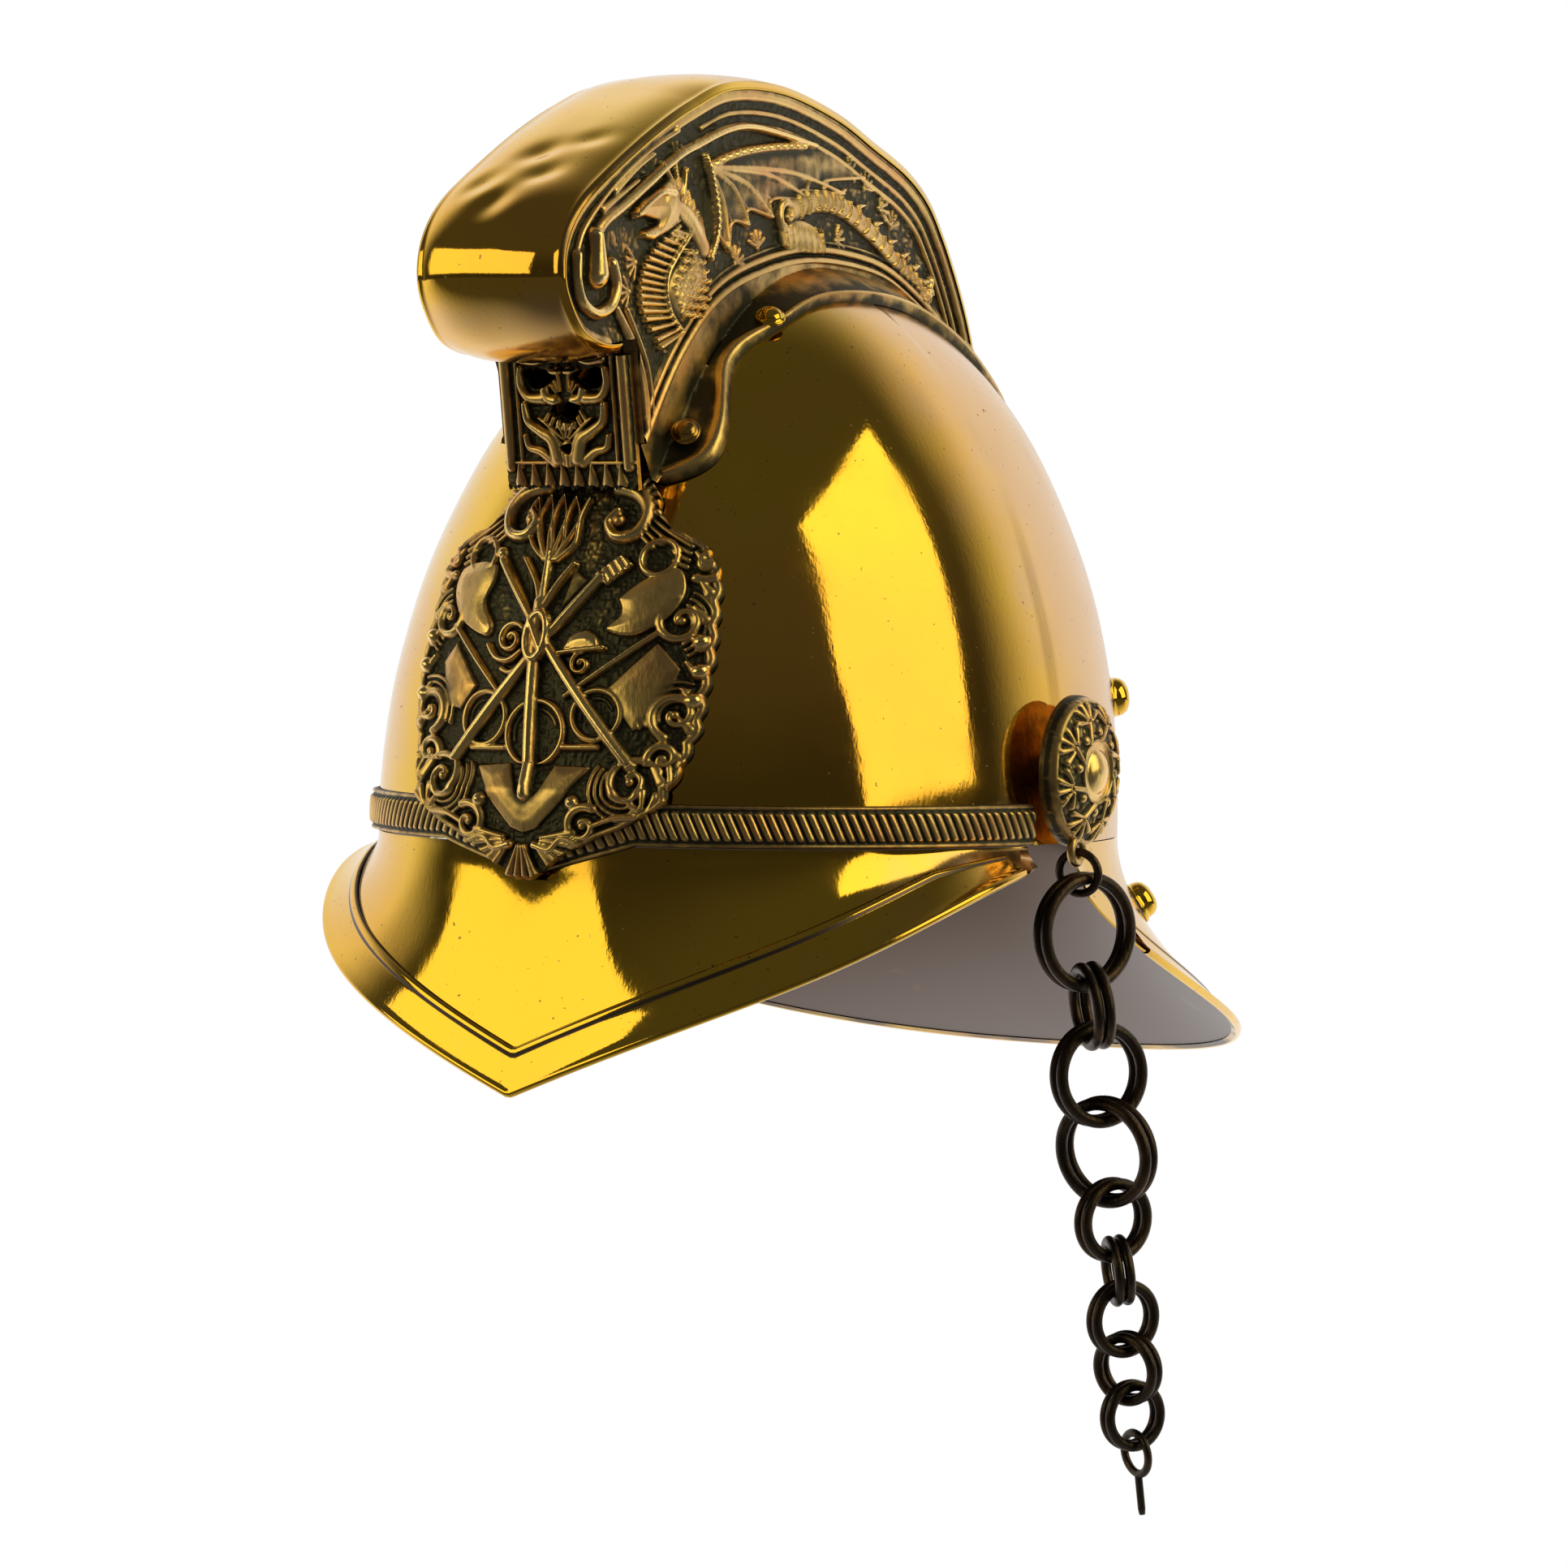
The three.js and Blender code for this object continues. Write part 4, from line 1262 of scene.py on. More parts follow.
FLANGE_EDGE: tuple[Point, ...] = (
    (-91, 93), (-80, 101), (-62, 126), (-44, 138), (-20, 147), (14, 147), (40, 139), (62, 127), (86, 108),
)
COMB_LINE = resample(curve([*NOSE_UNDERSIDE, *COMB_OUTLINE], 2400), 1600)

# Place where the neck plate and the comb sides meet under the nose, as y and z
NECK_HEAD: Point = (-104.0, 132.0)

# Dents of the comb strip: share of its length, place across from -1 to 1, depth, and length as a share
DENTS: tuple[tuple[float, float, float, float], ...] = (
    (0.188, -0.15, 1.3, 0.017), (0.212, -0.52, 1.2, 0.018), (0.225, 0.22, 1.1, 0.016),
    (0.262, -0.10, 1.1, 0.018), (0.285, 0.42, 0.8, 0.016), (0.172, 0.50, 0.8, 0.014),
    (0.60, 0.10, 0.6, 0.03), (0.45, -0.40, 0.5, 0.03),
)


@dataclass
class CombTop:
    """Domed strip that closes the comb from under its nose to its heel, with a small cap at the rear."""

    half_width: float = 23.0
    dome: float = 3.4
    seat: float = 1.6
    start: float = 0.025
    lip: float = 1.4
    dent_width: float = 0.22
    cap_half_width: float = 13.0
    cap_from: float = 0.78
    cap_to: float = 0.90
    cap_crown: float = 2.0
    cap_bead: float = 0.7
    cap_round: float = 0.32

    def surface(self, across: Array, share: Array, lift: Array | float) -> Array:
        """Points of the strip: the comb line moved out along its normal by lift + dome * (1 - |across|^3.4).

        Args:
            across: -1 at the right edge, 1 at the left edge.
            share: Share of the length of the comb line.
            lift: Distance from the comb line at the edges.

        Returns:
            Points of the strip.
        """
        run = tangents(COMB_LINE)
        run = np.stack([blur(run[:, k : k + 1], 12)[:, 0] for k in (0, 1)], axis=-1)
        even = np.linspace(0, 1, len(COMB_LINE))
        y, z = (np.interp(share, even, COMB_LINE[:, k]) for k in (0, 1))
        ty, tz = (np.interp(share, even, run[:, k]) for k in (0, 1))
        height = lift + self.dome * (1 - np.abs(across) ** 3.4)
        return np.stack([across * self.half_width, y - tz * height, z + ty * height], axis=-1)

    def dents(self, across: Array, share: Array) -> Array:
        """Height of the waves and dents of the strip.

        Args:
            across: -1 at the right edge, 1 at the left edge.
            share: Share of the length of the comb line.

        Returns:
            Heights, negative in a dent.
        """
        flat = self.surface(across, share, self.seat)
        height = 0.30 * patches_of_noise(flat[..., 1] + 0.4 * flat[..., 0], flat[..., 2], 19.0, 31)
        for at, aside, deep, long in DENTS:
            slanted = across - aside - 4 * (share - at)
            height -= deep * np.exp(-(((share - at) / long) ** 2) - (slanted / self.dent_width) ** 2)
        return height * step(1.0, 0.8, np.abs(across))

    def build(self) -> None:
        """Lays the strip, with a bead and a turned-down lip along both edges, and the cap."""
        v, u = lattice(61, 560)
        across = (2 * u - 1)[:, ::-1]
        share = mix(self.start, 1.0, v)
        edge = np.abs(across)
        lift = self.seat + 0.9 * np.exp(-(((edge - 0.955) / 0.02) ** 2)) - self.lip * step(0.97, 1.0, edge)
        dents = self.dents(across, share)
        outer = self.surface(across, share, lift + dents)
        inner = self.surface(across, share, self.seat - SKULL.wall + dents)
        haze = 0.26 * np.maximum(step(0.32, 0.46, share), step(0.15, 0.10, share))
        worn = CLEAN_WEAR + haze - 0.3 * step(0.93, 0.96, edge)
        make_piece("comb_strip", shell(outer, inner, worn), Slot.POLISHED, ["comb_top_strip"],
                   inside_out=True)
        self.build_cap()

    def build_cap(self) -> None:
        """Lays the cap: a square grid with its corners drawn in, crowned, with a bead along its edge."""
        v, u = lattice(60, 60)
        a, b = 2 * u - 1, 2 * v - 1
        across = (a * np.sqrt(1 - self.cap_round * b**2))[:, ::-1] * self.cap_half_width / self.half_width
        share = mix(self.cap_from, self.cap_to, 0.5 + 0.5 * b * np.sqrt(1 - self.cap_round * a**2))
        edge = np.maximum(np.abs(a), np.abs(b))
        crown = self.cap_crown * (1 - edge**6) + self.cap_bead * np.exp(-(((edge - 0.8) / 0.06) ** 2))
        cap = self.surface(across, share, self.seat + SKULL.seam + crown)
        make_piece("comb_cap", [Patch(cap)], Slot.BRONZE, ["comb_rear_cap"], inside_out=True)


@dataclass
class CombSide:
    """Cast side of the comb: mouldings, a volute at the nose, a winged dragon and the flange to the skull."""

    side: Side
    face_x: float = 21.0
    fan_share: float = 0.29
    post_share: float = 0.38
    flange_out: float = 1.9
    flange_rise: float = 0.5
    overlap: float = 3.0
    sink: float = 1.6
    rivets: tuple[Point, ...] = ((-89.0, 106.0), (-45.0, 143.0), (62.0, 137.0))

    def plate_grid(self, rows: int, columns: int) -> tuple[Array, Array]:
        """Ruled grid between the foot line and the top line.

        The lower ends stay at the neck while the upper ends pass round the nose, then go down the neck
        and along the foot line.

        Args:
            rows: Points from the foot to the top.
            columns: Points along the comb.

        Returns:
            y and z of the grid.
        """
        share = np.linspace(0, 1, columns)
        top = resample(COMB_LINE, columns)
        foot = resample(curve(FOOT_LINE, 400), 500)
        along = np.clip((share - self.post_share) / (1 - self.post_share), 0, 1)
        low = np.stack([np.interp(along, np.linspace(0, 1, 500), foot[:, k]) for k in (0, 1)], axis=-1)
        down = np.clip((share - self.fan_share) / (self.post_share - self.fan_share), 0, 1)[:, None]
        low = np.where(share[:, None] < self.post_share, mix(np.array(NECK_HEAD), foot[0], down), low)
        v = np.linspace(0, 1, rows)[:, None, None]
        points = mix(low[None], top[None], v)
        return points[..., 0], points[..., 1]

    def carve(self, y: Array, z: Array) -> Relief:
        """Works the relief of the plate.

        Args:
            y: Places along the helmet.
            z: Heights.

        Returns:
            The relief.
        """
        relief = Relief(y, z)
        self.carve_ground(relief)
        self.carve_mouldings(relief)
        self.carve_volute(relief)
        self.carve_body(relief)
        self.carve_wing(relief)
        self.carve_tail(relief)
        return relief

    def carve_ground(self, relief: Relief) -> None:
        """Lays the rough ground and the small foliage on it.

        Args:
            relief: Relief to work.
        """
        relief.stipple(0.55, 1.5, 1.0, 41)
        for at, angle in (((20, 181), 60), ((29, 176), 20), ((44, 160), -20), ((36, 171), 80),
                          ((10, 185), 30), ((-97, 176), 120), ((-84, 181), 60), ((-104, 152), 200),
                          ((-107, 144), 190), ((-84, 129), 240), ((-97, 122), 200), ((-40, 160), 100),
                          ((-52, 155), 60), ((4, 165), 10)):
            relief.fan(at, 4.6, angle - 60, angle + 60, 5, 0.9, 1.1)
            relief.ball(at, 1.0, 1.2)

    def carve_mouldings(self, relief: Relief) -> None:
        """Lays the mouldings along the top and the foot, and the two on the neck.

        Args:
            relief: Relief to work.
        """
        for low, high, rise, offset in ((560, 1600, 1.8, 1.6), (620, 1590, 1.3, 6.0), (660, 1580, 1.5, 9.6)):
            relief.bead(beside(COMB_LINE[low:high:16], -offset), 1.5 if offset < 3 else 0.9, rise)
        relief.bead(COMB_LINE[64::16], 2.6, 1.5, 0.0, 1.0)
        foot = curve(FOOT_LINE, 60)
        relief.bead(foot, 1.9, 2.2)
        inner = beside(foot, 3.6)[2:]
        relief.bead(inner, 1.2, 1.8)
        relief.bead(inner + (0, 2.2), 0.6, 0.9)
        relief.bead(curve([(-113, 138), (-102, 125), (-97.5, 108)]), 1.5, 2.0)
        relief.bead(curve([(-108.5, 139), (-98, 125), (-94.5, 112)]), 1.0, 1.8)

    def carve_volute(self, relief: Relief) -> None:
        """Works the nose: a strand that swells to a tear shaped boss inside a curl, and leaves in the gutter.

        Args:
            relief: Relief to work.
        """
        strand = [(-10.6, 190.6), (-48.9, 192.7), (-76.7, 184.7), (-89.2, 179.2), (-99.4, 173.4),
                  (-111.5, 166.6), (-121.4, 161.4), (-126.0, 156.3), (-125.8, 152.0)]
        relief.bead(curve(strand, 90), (1.1, 2.5), 3.0)
        relief.bead([(-126.4, 157.5), (-125.4, 152.3), (-124.4, 147.6)], (2.5, 4.3), 4.2, 0.3)
        curl = [(-134.6, 152), (-134.4, 145), (-131.5, 139.8), (-124.5, 137.2), (-117.6, 139.6),
                (-115.0, 145), (-117.1, 150.6)]
        relief.bead(curve(curl, 70), (1.5, 2.3), 3.2)
        gutter = [(-84, 188.5), (-97, 182.8), (-110, 175.6), (-122, 167), (-131, 158.5), (-134.6, 151)]
        relief.bead(curve(gutter, 70), (0.8, 1.1), 2.0)
        for leaf in ([(-96.5, 181.3), (-105.7, 176.6), (-115.7, 170.1)],
                     [(-104.5, 173.6), (-112.7, 169.4), (-121.5, 164.6)]):
            relief.bead(curve(leaf), (0.6, 1.7), 2.2)
        relief.bead(curve([(-114.0, 139.0), (-104.2, 128.9), (-98.5, 117.0), (-97.3, 106.6)]), 1.3, 2.2)

    def carve_body(self, relief: Relief) -> None:
        """Lays the dragon's head, its ribbed throat and its scaly breast.

        Args:
            relief: Relief to work.
        """
        breast = [(-76, 160), (-69, 156), (-67, 149), (-71, 142), (-80, 136), (-86, 138.5), (-89, 144),
                  (-88, 149), (-83, 154.5)]
        relief.plateau(curve([*breast, breast[0]], 50), 1.5, 1.6, 1.2)
        for row in range(9):
            for place in range(7):
                y = -88 + place * 2.9 + (row % 2) * 1.45
                z = 138 + row * 2.4
                if (y + 77) ** 2 / 78 + (z - 148) ** 2 / 100 < 1:
                    relief.bead(arc((y, z), 1.25, 200, 340, 7), 0.42, 0.9, 2.2)
        inner = curve([(-78, 161), (-84, 155.5), (-89.2, 149.5), (-89.6, 144), (-86.4, 138.6),
                       (-80.5, 134.6)], 17)
        outer = curve([(-85.5, 161.5), (-94.5, 157), (-101, 150.5), (-102.6, 144), (-100, 137.5),
                       (-91.5, 130)], 17)
        for near, far in zip(inner, outer):
            relief.bead([near, far], (0.55, 1.0), 2.3)
        relief.bead(inner, 0.8, 2.7)
        relief.bead(curve([(-70, 158), (-77, 165), (-84, 168), (-92, 170)]), (3.8, 3.0), 2.4)
        crest_roots = curve([(-70, 160), (-77, 167), (-84, 171)], 7)
        crest_tips = curve([(-72, 166), (-79, 173), (-85, 177)], 7)
        for near, far in zip(crest_roots, crest_tips):
            relief.bead([near, far], (1.1, 0.4), 2.2)
        head = [(-82.5, 169), (-85, 174.6), (-90, 175.6), (-95.5, 172.8), (-103, 169.6), (-108.6, 164.8),
                (-106.6, 162.4), (-101, 163.6), (-95.6, 163.0), (-101.6, 160.8), (-103.4, 158.2),
                (-96.5, 157.6), (-89, 160.4), (-83.5, 164.0)]
        relief.plateau(head, 2.2, 1.3, 1.4)
        relief.bead(curve([(-88, 171.5), (-94, 171.2), (-101, 168.0), (-106.8, 164.4)]), (1.3, 0.6), 1.3, 2.6)
        for root, tip in (((-87, 174), (-93, 179.5)), ((-84.5, 173.5), (-87, 181)),
                          ((-82, 171.5), (-80.4, 179.0))):
            relief.bead([root, tip], (1.5, 0.4), 2.6)
        relief.ball((-105.6, 165.8), 0.6, 0.7, 2.6)
        relief.bead(arc((-90.4, 169.4), 1.7, 0, 360, 14), 0.45, 0.8, 2.9)
        relief.ball((-90.4, 169.4), 0.8, 0.9, 2.8)
        for n in range(6):
            relief.bead([(-82 - 0.6 * n, 160 + 1.5 * n), (-86.5 - 0.8 * n, 158.5 + 1.1 * n)], (0.8, 0.3), 2.4)

    def carve_wing(self, relief: Relief) -> None:
        """Lays the raised wing: two pearled spars, fingers and the scalloped skin between them.

        Args:
            relief: Relief to work.
        """
        elbow = np.array([-68.0, 180.0])
        tips = np.array([(-67, 156), (-56, 158), (-46, 166), (-33, 169), (-13, 175.5), (7, 178.5), (19, 184)])
        middles = mix(tips[:-1], tips[1:], 0.5)
        sags = mix(middles, elbow, 0.22)
        scallops = [point for pair in zip(tips[:-1], sags) for point in pair]
        relief.plateau([elbow, *scallops, tips[-1], (2, 190), (-19, 190.5), (-49, 186.5)], 0.9, 0.9, 0.5)
        for tip in tips[1:-1]:
            bend = mix(elbow, tip, 0.55) + (1.5, 3.0)
            relief.bead(curve([elbow, bend, tip]), (1.0, 0.5), 0.9, 1.1)
        for start, sag, end in zip(tips[:-1], sags, tips[1:]):
            relief.bead(curve([start, sag, end]), 0.55, 0.9, 0.8)
            for share in (0.35, 0.6, 0.8):
                near = mix(elbow, sag, share)
                relief.bead([near, near + 0.16 * (sag - elbow)], 0.35, 0.4, 1.1)
        for spar in ([elbow, (-64, 170), (-63.6, 163), (-67, 155.5)],
                     [elbow, (-60, 183), (-49, 185.8), (-33, 188.4), (-17, 190)]):
            line = curve(spar, 60)
            relief.bead(line, 1.3, 1.4, 0.9)
            for pearl in resample(line, 15):
                relief.ball(pearl, 1.1, 1.1, 1.9)
        relief.bead([elbow, (-70, 183.5)], (1.3, 0.4), 2.6)

    def carve_tail(self, relief: Relief) -> None:
        """Lays the curled leg and the scaled tail down to the heel.

        Args:
            relief: Relief to work.
        """
        relief.bead(scroll((-25, 170.5), 5.2, -60, -1.2), (2.2, 1.0), 2.4)
        thigh = [(-30, 166), (-20, 170), (-8, 168), (-3, 161), (-14, 159.5), (-27, 160.5), (-30, 166)]
        relief.plateau(curve(thigh, 40), 1.7, 1.2, 0.8)
        for n in range(7):
            relief.bead([(-27 + 3.4 * n, 167.5), (-25 + 3.4 * n, 161.2)], 0.4, 0.7, 1.9)
        bends = [(-22, 172), (-8, 175.5), (7, 174.5), (24, 168.5), (38, 161.5), (50, 156.5), (57, 152),
                 (60, 157)]
        tail = curve(bends, 70)
        relief.bead(tail, (4.2, 1.6), 2.2)
        run = tangents(tail)
        normal = np.stack([-run[:, 1], run[:, 0]], axis=-1)
        for n in range(3, 66, 3):
            half = float(mix(3.2, 1.0, n / 70))
            bow = tail[n] + run[n] * 1.1
            relief.bead([tail[n] + normal[n] * half, bow, tail[n] - normal[n] * half], 0.42, 0.7, 2.0)
        for n in range(6, 60, 6):
            relief.bead([tail[n] + normal[n] * 3.2, tail[n + 2] + normal[n] * 5.6], (1.2, 0.3), 1.9)

    def flange(self, u: Array, v: Array) -> Array:
        """Flange from the foot line down and out to the skull.

        Args:
            u: Shares along the foot line's rows.
            v: 0 at the foot line, 1 at the wavy edge.

        Returns:
            Points of its outer face on the left.
        """
        fine = np.linspace(0, 1, 400)
        head = curve(FOOT_LINE, 400)
        edge = curve(FLANGE_EDGE, 400)
        y, z = (mix(np.interp(u, fine, head[:, k]), np.interp(u, fine, edge[:, k]), v) for k in (0, 1))
        x = np.maximum(self.face_x - 0.6, SKULL.side_x(y, z, self.flange_out))
        return np.stack([x, y, z], axis=-1)

    def build(self) -> None:
        """Lays the plate, the flange and the wall in front of the neck as one piece."""
        y, z = self.plate_grid(166, 520)
        relief = self.carve(y, z)
        plate = np.stack([self.face_x + relief.height, y, z], axis=-1)
        u, v = lattice(34, 300)
        base = self.flange(u, v)
        normal = normals(base)
        normal *= np.sign(normal[..., :1] + 1e-9)
        wave = 0.5 * patches_of_noise(base[..., 1], base[..., 2], 14.0, 61)
        rim = 1.3 * np.exp(-(((v - 0.93) / 0.035) ** 2)) + 0.5 * step(0.84, 0.4, v)
        for at in self.rivets:
            away = np.hypot(base[..., 1] - at[0], base[..., 2] - at[1])
            rim -= 0.5 * np.exp(-((away / 5.5) ** 2))
        height = self.flange_rise + wave * step(1.0, 0.8, v) + rim
        height[-1] = -self.sink
        height[0] = self.overlap
        lay = base + normal * height[..., None]
        spots = 0.12 * patches_of_noise(base[..., 1], base[..., 2], 6.0, 62)
        worn = np.clip(0.42 + 0.5 * (rim - 0.3) + spots, 0, 1)
        post = np.linspace(NECK_HEAD, FOOT_LINE[0], 24)
        wall = np.stack([np.column_stack([np.full(24, self.face_x + out), post]) for out in (1.4, -3.0)])
        patches = [Patch(plate, relief.worn(7, 0.42)), Patch(lay, worn), Patch(wall, 0.45)]
        for patch in patches:
            patch.points = patch.points * (self.side.value, 1, 1)
        turned_round = (0,) if self.side is Side.RIGHT else (1, 2)
        patches = [patch.flipped() if n in turned_round else patch for n, patch in enumerate(patches)]
        make_piece(f"comb_side_{self.side.word}_relief", patches, Slot.CAST, [f"comb_side_{self.side.word}"])


@dataclass
class NeckPlate:
    """Pierced plate under the nose, with leaves and scrolls round its openings."""

    foot: Point = (-98.0, 98.0)
    top_clear: float = 4.5
    half: float = 19.5
    sheet: float = 1.6
    reach: float = 20.6
    skirt: float = 6.4
    lobing: float = 0.17
    openings: tuple[tuple[float, float, float, float], ...] = (
        (0.42, 0.80, 0.27, 0.11), (-0.42, 0.80, 0.27, 0.11), (0.0, 0.50, 0.26, 0.10),
        (0.0, 0.17, 0.10, 0.05),
    )

    def carve(self, x: Array, up: Array) -> Relief:
        """Works the relief of the plate.

        Args:
            x: Places across.
            up: Places along its slope.

        Returns:
            The relief.
        """
        relief = Relief(x, up, mirrored=True)
        relief.stipple(0.5, 1.3, 1.0, 71)
        relief.bead([(18.6, 0), (18.6, 31)], 1.7, 2.4).bead([(15.2, 0), (15.2, 31)], 0.8, 1.3)
        for place in (2.3, 6.9, 11.5, 16.1):
            relief.bead([(place, 0.4), (place, -4.2)], (0.5, 2.0), 1.9)
        relief.bead([(-20, 1.2), (20, 1.2)], 0.8, 1.6)
        relief.bead(curve([(3.2, 2.4), (4.6, 7.4), (8.2, 9.8), (11.8, 12.6), (12.6, 17.2)]), (2.7, 1.0), 3.0)
        relief.bead(curve([(4.4, 1.2), (8.6, 4.2), (12.2, 5.4), (13.2, 8.6)]), (1.9, 0.9), 2.2)
        relief.bead(curve([(1.0, 1.0), (1.6, 5.2), (4.8, 10.6), (8.2, 13.4)]), (1.3, 0.5), 2.3)
        relief.fan((0, 6.8), 5.6, 40, 140, 5, 0.9, 2.2)
        relief.bead([(0, 0.6), (0, 6.0)], (1.2, 2.0), 2.4)
        for n in range(4):
            climb = 0.5 * n**1.3
            relief.bead([(0.9 + 1.9 * n, 10.4 + climb), (0.3 + 1.5 * n, 13.2 + climb)], (0.9, 0.4), 2.0)
        relief.bead(curve([(3.0, 18.0), (5.4, 19.0), (6.2, 22.6), (4.0, 25.4), (1.2, 25.8)]), (2.0, 1.0), 2.6)
        relief.bead(curve([(6.8, 18.6), (11.4, 19.0), (13.6, 22.4), (13.4, 26.8)]), (2.0, 1.0), 2.5)
        relief.fan((1.2, 18.4), 8.6, 52, 86, 3, 0.7, 1.7)
        relief.bead(curve([(4.6, 29.6), (8.4, 28.4), (12.6, 29.0)]), (1.0, 1.4), 2.4)
        return relief

    def build(self) -> None:
        """Lays the plate and cuts its openings through."""
        along = np.array([0, NECK_HEAD[0] - self.foot[0], NECK_HEAD[1] - self.foot[1]])
        slope = float(np.linalg.norm(along))
        along /= slope
        out = np.array([0, -along[2], along[1]])
        run = slope - self.top_clear
        u, v = lattice(170, 190)
        x, up = (1 - 2 * u) * self.reach, mix(-self.skirt, run, v)
        relief = self.carve(x, up)
        base = np.array([0, *self.foot]) + x[..., None] * (1, 0, 0) + up[..., None] * along
        keep = (up > -self.skirt + 1.8 * np.abs(np.sin(x * np.pi / 4.6)))[1:, :-1]
        for centre, height, wide, tall in self.openings:
            a, b = (x - centre * self.half) / (wide * self.half), (up - height * run) / (tall * run)
            lobe = np.sin(3 * np.arctan2(b, a * np.sign(centre + 0.1)) + 2.2)
            away = np.hypot(a, b) * (1.18 + self.lobing * lobe)
            relief.height *= step(0.98, 1.12, away)
            keep &= away[:-1, :-1] > 1
        outer = base + out * (self.sheet + relief.height)[..., None]
        worn = relief.worn(6, 0.42)
        back = Patch(base, INSIDE_WEAR, keep=keep).flipped()
        edges = [Patch(np.stack([base[-1], outer[-1]]), 0.4)]
        edges += [Patch(np.stack([base[:, k], outer[:, k]]), 0.5) for k in (0, -1)]
        make_piece("neck_relief", [Patch(outer, worn, keep=keep), back, *edges], Slot.CAST,
                   ["comb_neck_plate"], inside_out=True)


# Outline of the badge: share of its height, and half width as a share
BADGE_OUTLINE: tuple[Point, ...] = (
    (0.00, 0.05), (0.07, 0.28), (0.14, 0.64), (0.19, 0.84), (0.38, 0.98), (0.56, 1.00), (0.74, 0.96),
    (0.82, 0.86), (0.88, 0.58), (0.94, 0.51), (0.98, 0.45), (1.00, 0.34),
)


@dataclass
class Badge:
    """Large cast badge: crossed axes, a torch and hoses in a frame of scrolls, shells and pearls."""

    half_width: float = 46.0
    height: float = 108.0
    foot_z: float = -13.0
    sheet: float = 1.1
    gap: float = 0.6
    over_band: float = 2.6
    band_top: float = 8.25
    lobe: float = 6.2
    rows: int = 320
    columns: int = 270

    def outline(self, up: Array, soften: int = 0) -> Array:
        """Half width of the badge at a share of its height, with the small lobes of its rim.

        Args:
            up: Shares from the foot to the top, in one row.
            soften: Places over which the corners of the outline are softened.

        Returns:
            Half widths.
        """
        rows = np.array(BADGE_OUTLINE)
        wide = np.interp(up, rows[:, 0], rows[:, 1])
        wide = blur(wide[:, None], soften)[:, 0]
        lobes = np.abs(np.sin(np.pi * up * self.height / self.lobe))
        return self.half_width * wide - 1.1 * (1 - lobes) * step(0.02, 0.12, up) * step(1.0, 0.96, up)

    def carve(self, x: Array, z: Array) -> Relief:
        """Works the relief of the badge.

        Args:
            x: Places across.
            z: Heights.

        Returns:
            The relief.
        """
        frame_work = Relief(x, z, mirrored=True)
        self.carve_frame(frame_work)
        tools = Relief(x, z)
        tools.height = frame_work.height
        self.carve_panels(tools)
        self.carve_tools(tools)
        tools.stipple(0.5, 1.2, 0.8, 81)
        return tools

    def carve_frame(self, relief: Relief) -> None:
        """Lays the frame of scrolls, leaves and pearls, the same on both sides.

        Args:
            relief: Relief to work.
        """
        level = np.linspace(0.10, 0.86, 60)
        rim = np.column_stack([self.outline(level) - 1.6, self.foot_z + level * self.height])
        relief.bead(rim, 1.3, 1.7)
        for z in np.arange(6.0, 78.0, 7.2):
            wide = float(self.outline(np.array([(z - self.foot_z) / self.height]))[0])
            relief.bead([(wide - 3.2, z), (wide - 6.4, z + 3.4)], (1.7, 0.6), 2.2)
        for centre, radius, start, turns in (((39.4, 71.4), 4.6, 240, 1.3), ((36.0, 56.0), 6.4, 110, 1.25),
                                             ((37.8, 31.5), 6.4, 250, -1.25), ((29.0, 13.0), 7.2, 20, 1.3),
                                             ((17.5, 2.0), 5.2, 60, 1.2), ((36.0, 20.0), 4.2, 200, -1.1)):
            relief.bead(scroll(centre, radius, start, turns), (1.5, 0.8), 2.4)
            relief.ball(centre, 1.4, 2.3)
        for centre, start, end in (((34.5, 55.0), -60, 70), ((38.0, 31.0), 70, 200),
                                   ((27.5, 12.5), 150, 300)):
            for radius in (4.0, 5.7, 7.4, 9.1):
                relief.bead(arc(centre, radius, start, end), 0.7, 1.6)
        for centre in ((41.4, 50.6), (42.2, 42.9), (41.6, 35.2)):
            relief.ball(centre, 2.4, 3.4)
        shoulder = [(11.5, 91.5), (17.5, 89.5), (21, 84.5), (19.4, 79), (14, 78), (11, 81.6), (13, 84.6)]
        relief.bead(curve(shoulder), (2.5, 1.3), 3.4)
        relief.fan((14.5, 86), 9.2, -10, 96, 7, 1.3, 2.6, 0.6)
        relief.ball((13.6, 82.2), 2.0, 3.0)
        for n in range(5):
            fold = [(20.5, 86.5 - 2.0 * n), (27, 82.0 - 2.1 * n), (34.5, 77.4 - 1.8 * n)]
            relief.bead(curve(fold), 0.75, 1.9)
        relief.bead(arc((27.0, 72.6), 4.6, 0, 360, 26), 1.0, 2.4)
        relief.hollow((27.0, 72.6), 3.6, 0.0)
        relief.fan((40.0, 10.0), 9.0, 40, 130, 5, 1.3, 2.4)
        relief.fan((33.0, 3.0), 7.5, -10, 90, 5, 1.2, 2.2)
        relief.fan((0, -1.0), 11.5, 250, 290, 4, 1.5, 2.6)
        relief.fan((3.0, -2.0), 12.0, -50, 10, 5, 1.6, 2.4)
        relief.ball((14.3, 8.0), 2.1, 3.2)
        relief.bead(curve([(4.0, -3.5), (8.5, -4.5), (12, -1.5), (17, -3.0)]), (1.5, 0.9), 2.8)
        relief.bead(curve([(20, 2), (26, 4.2), (33, 5), (38, 9)]), (0.9, 1.2), 2.2)

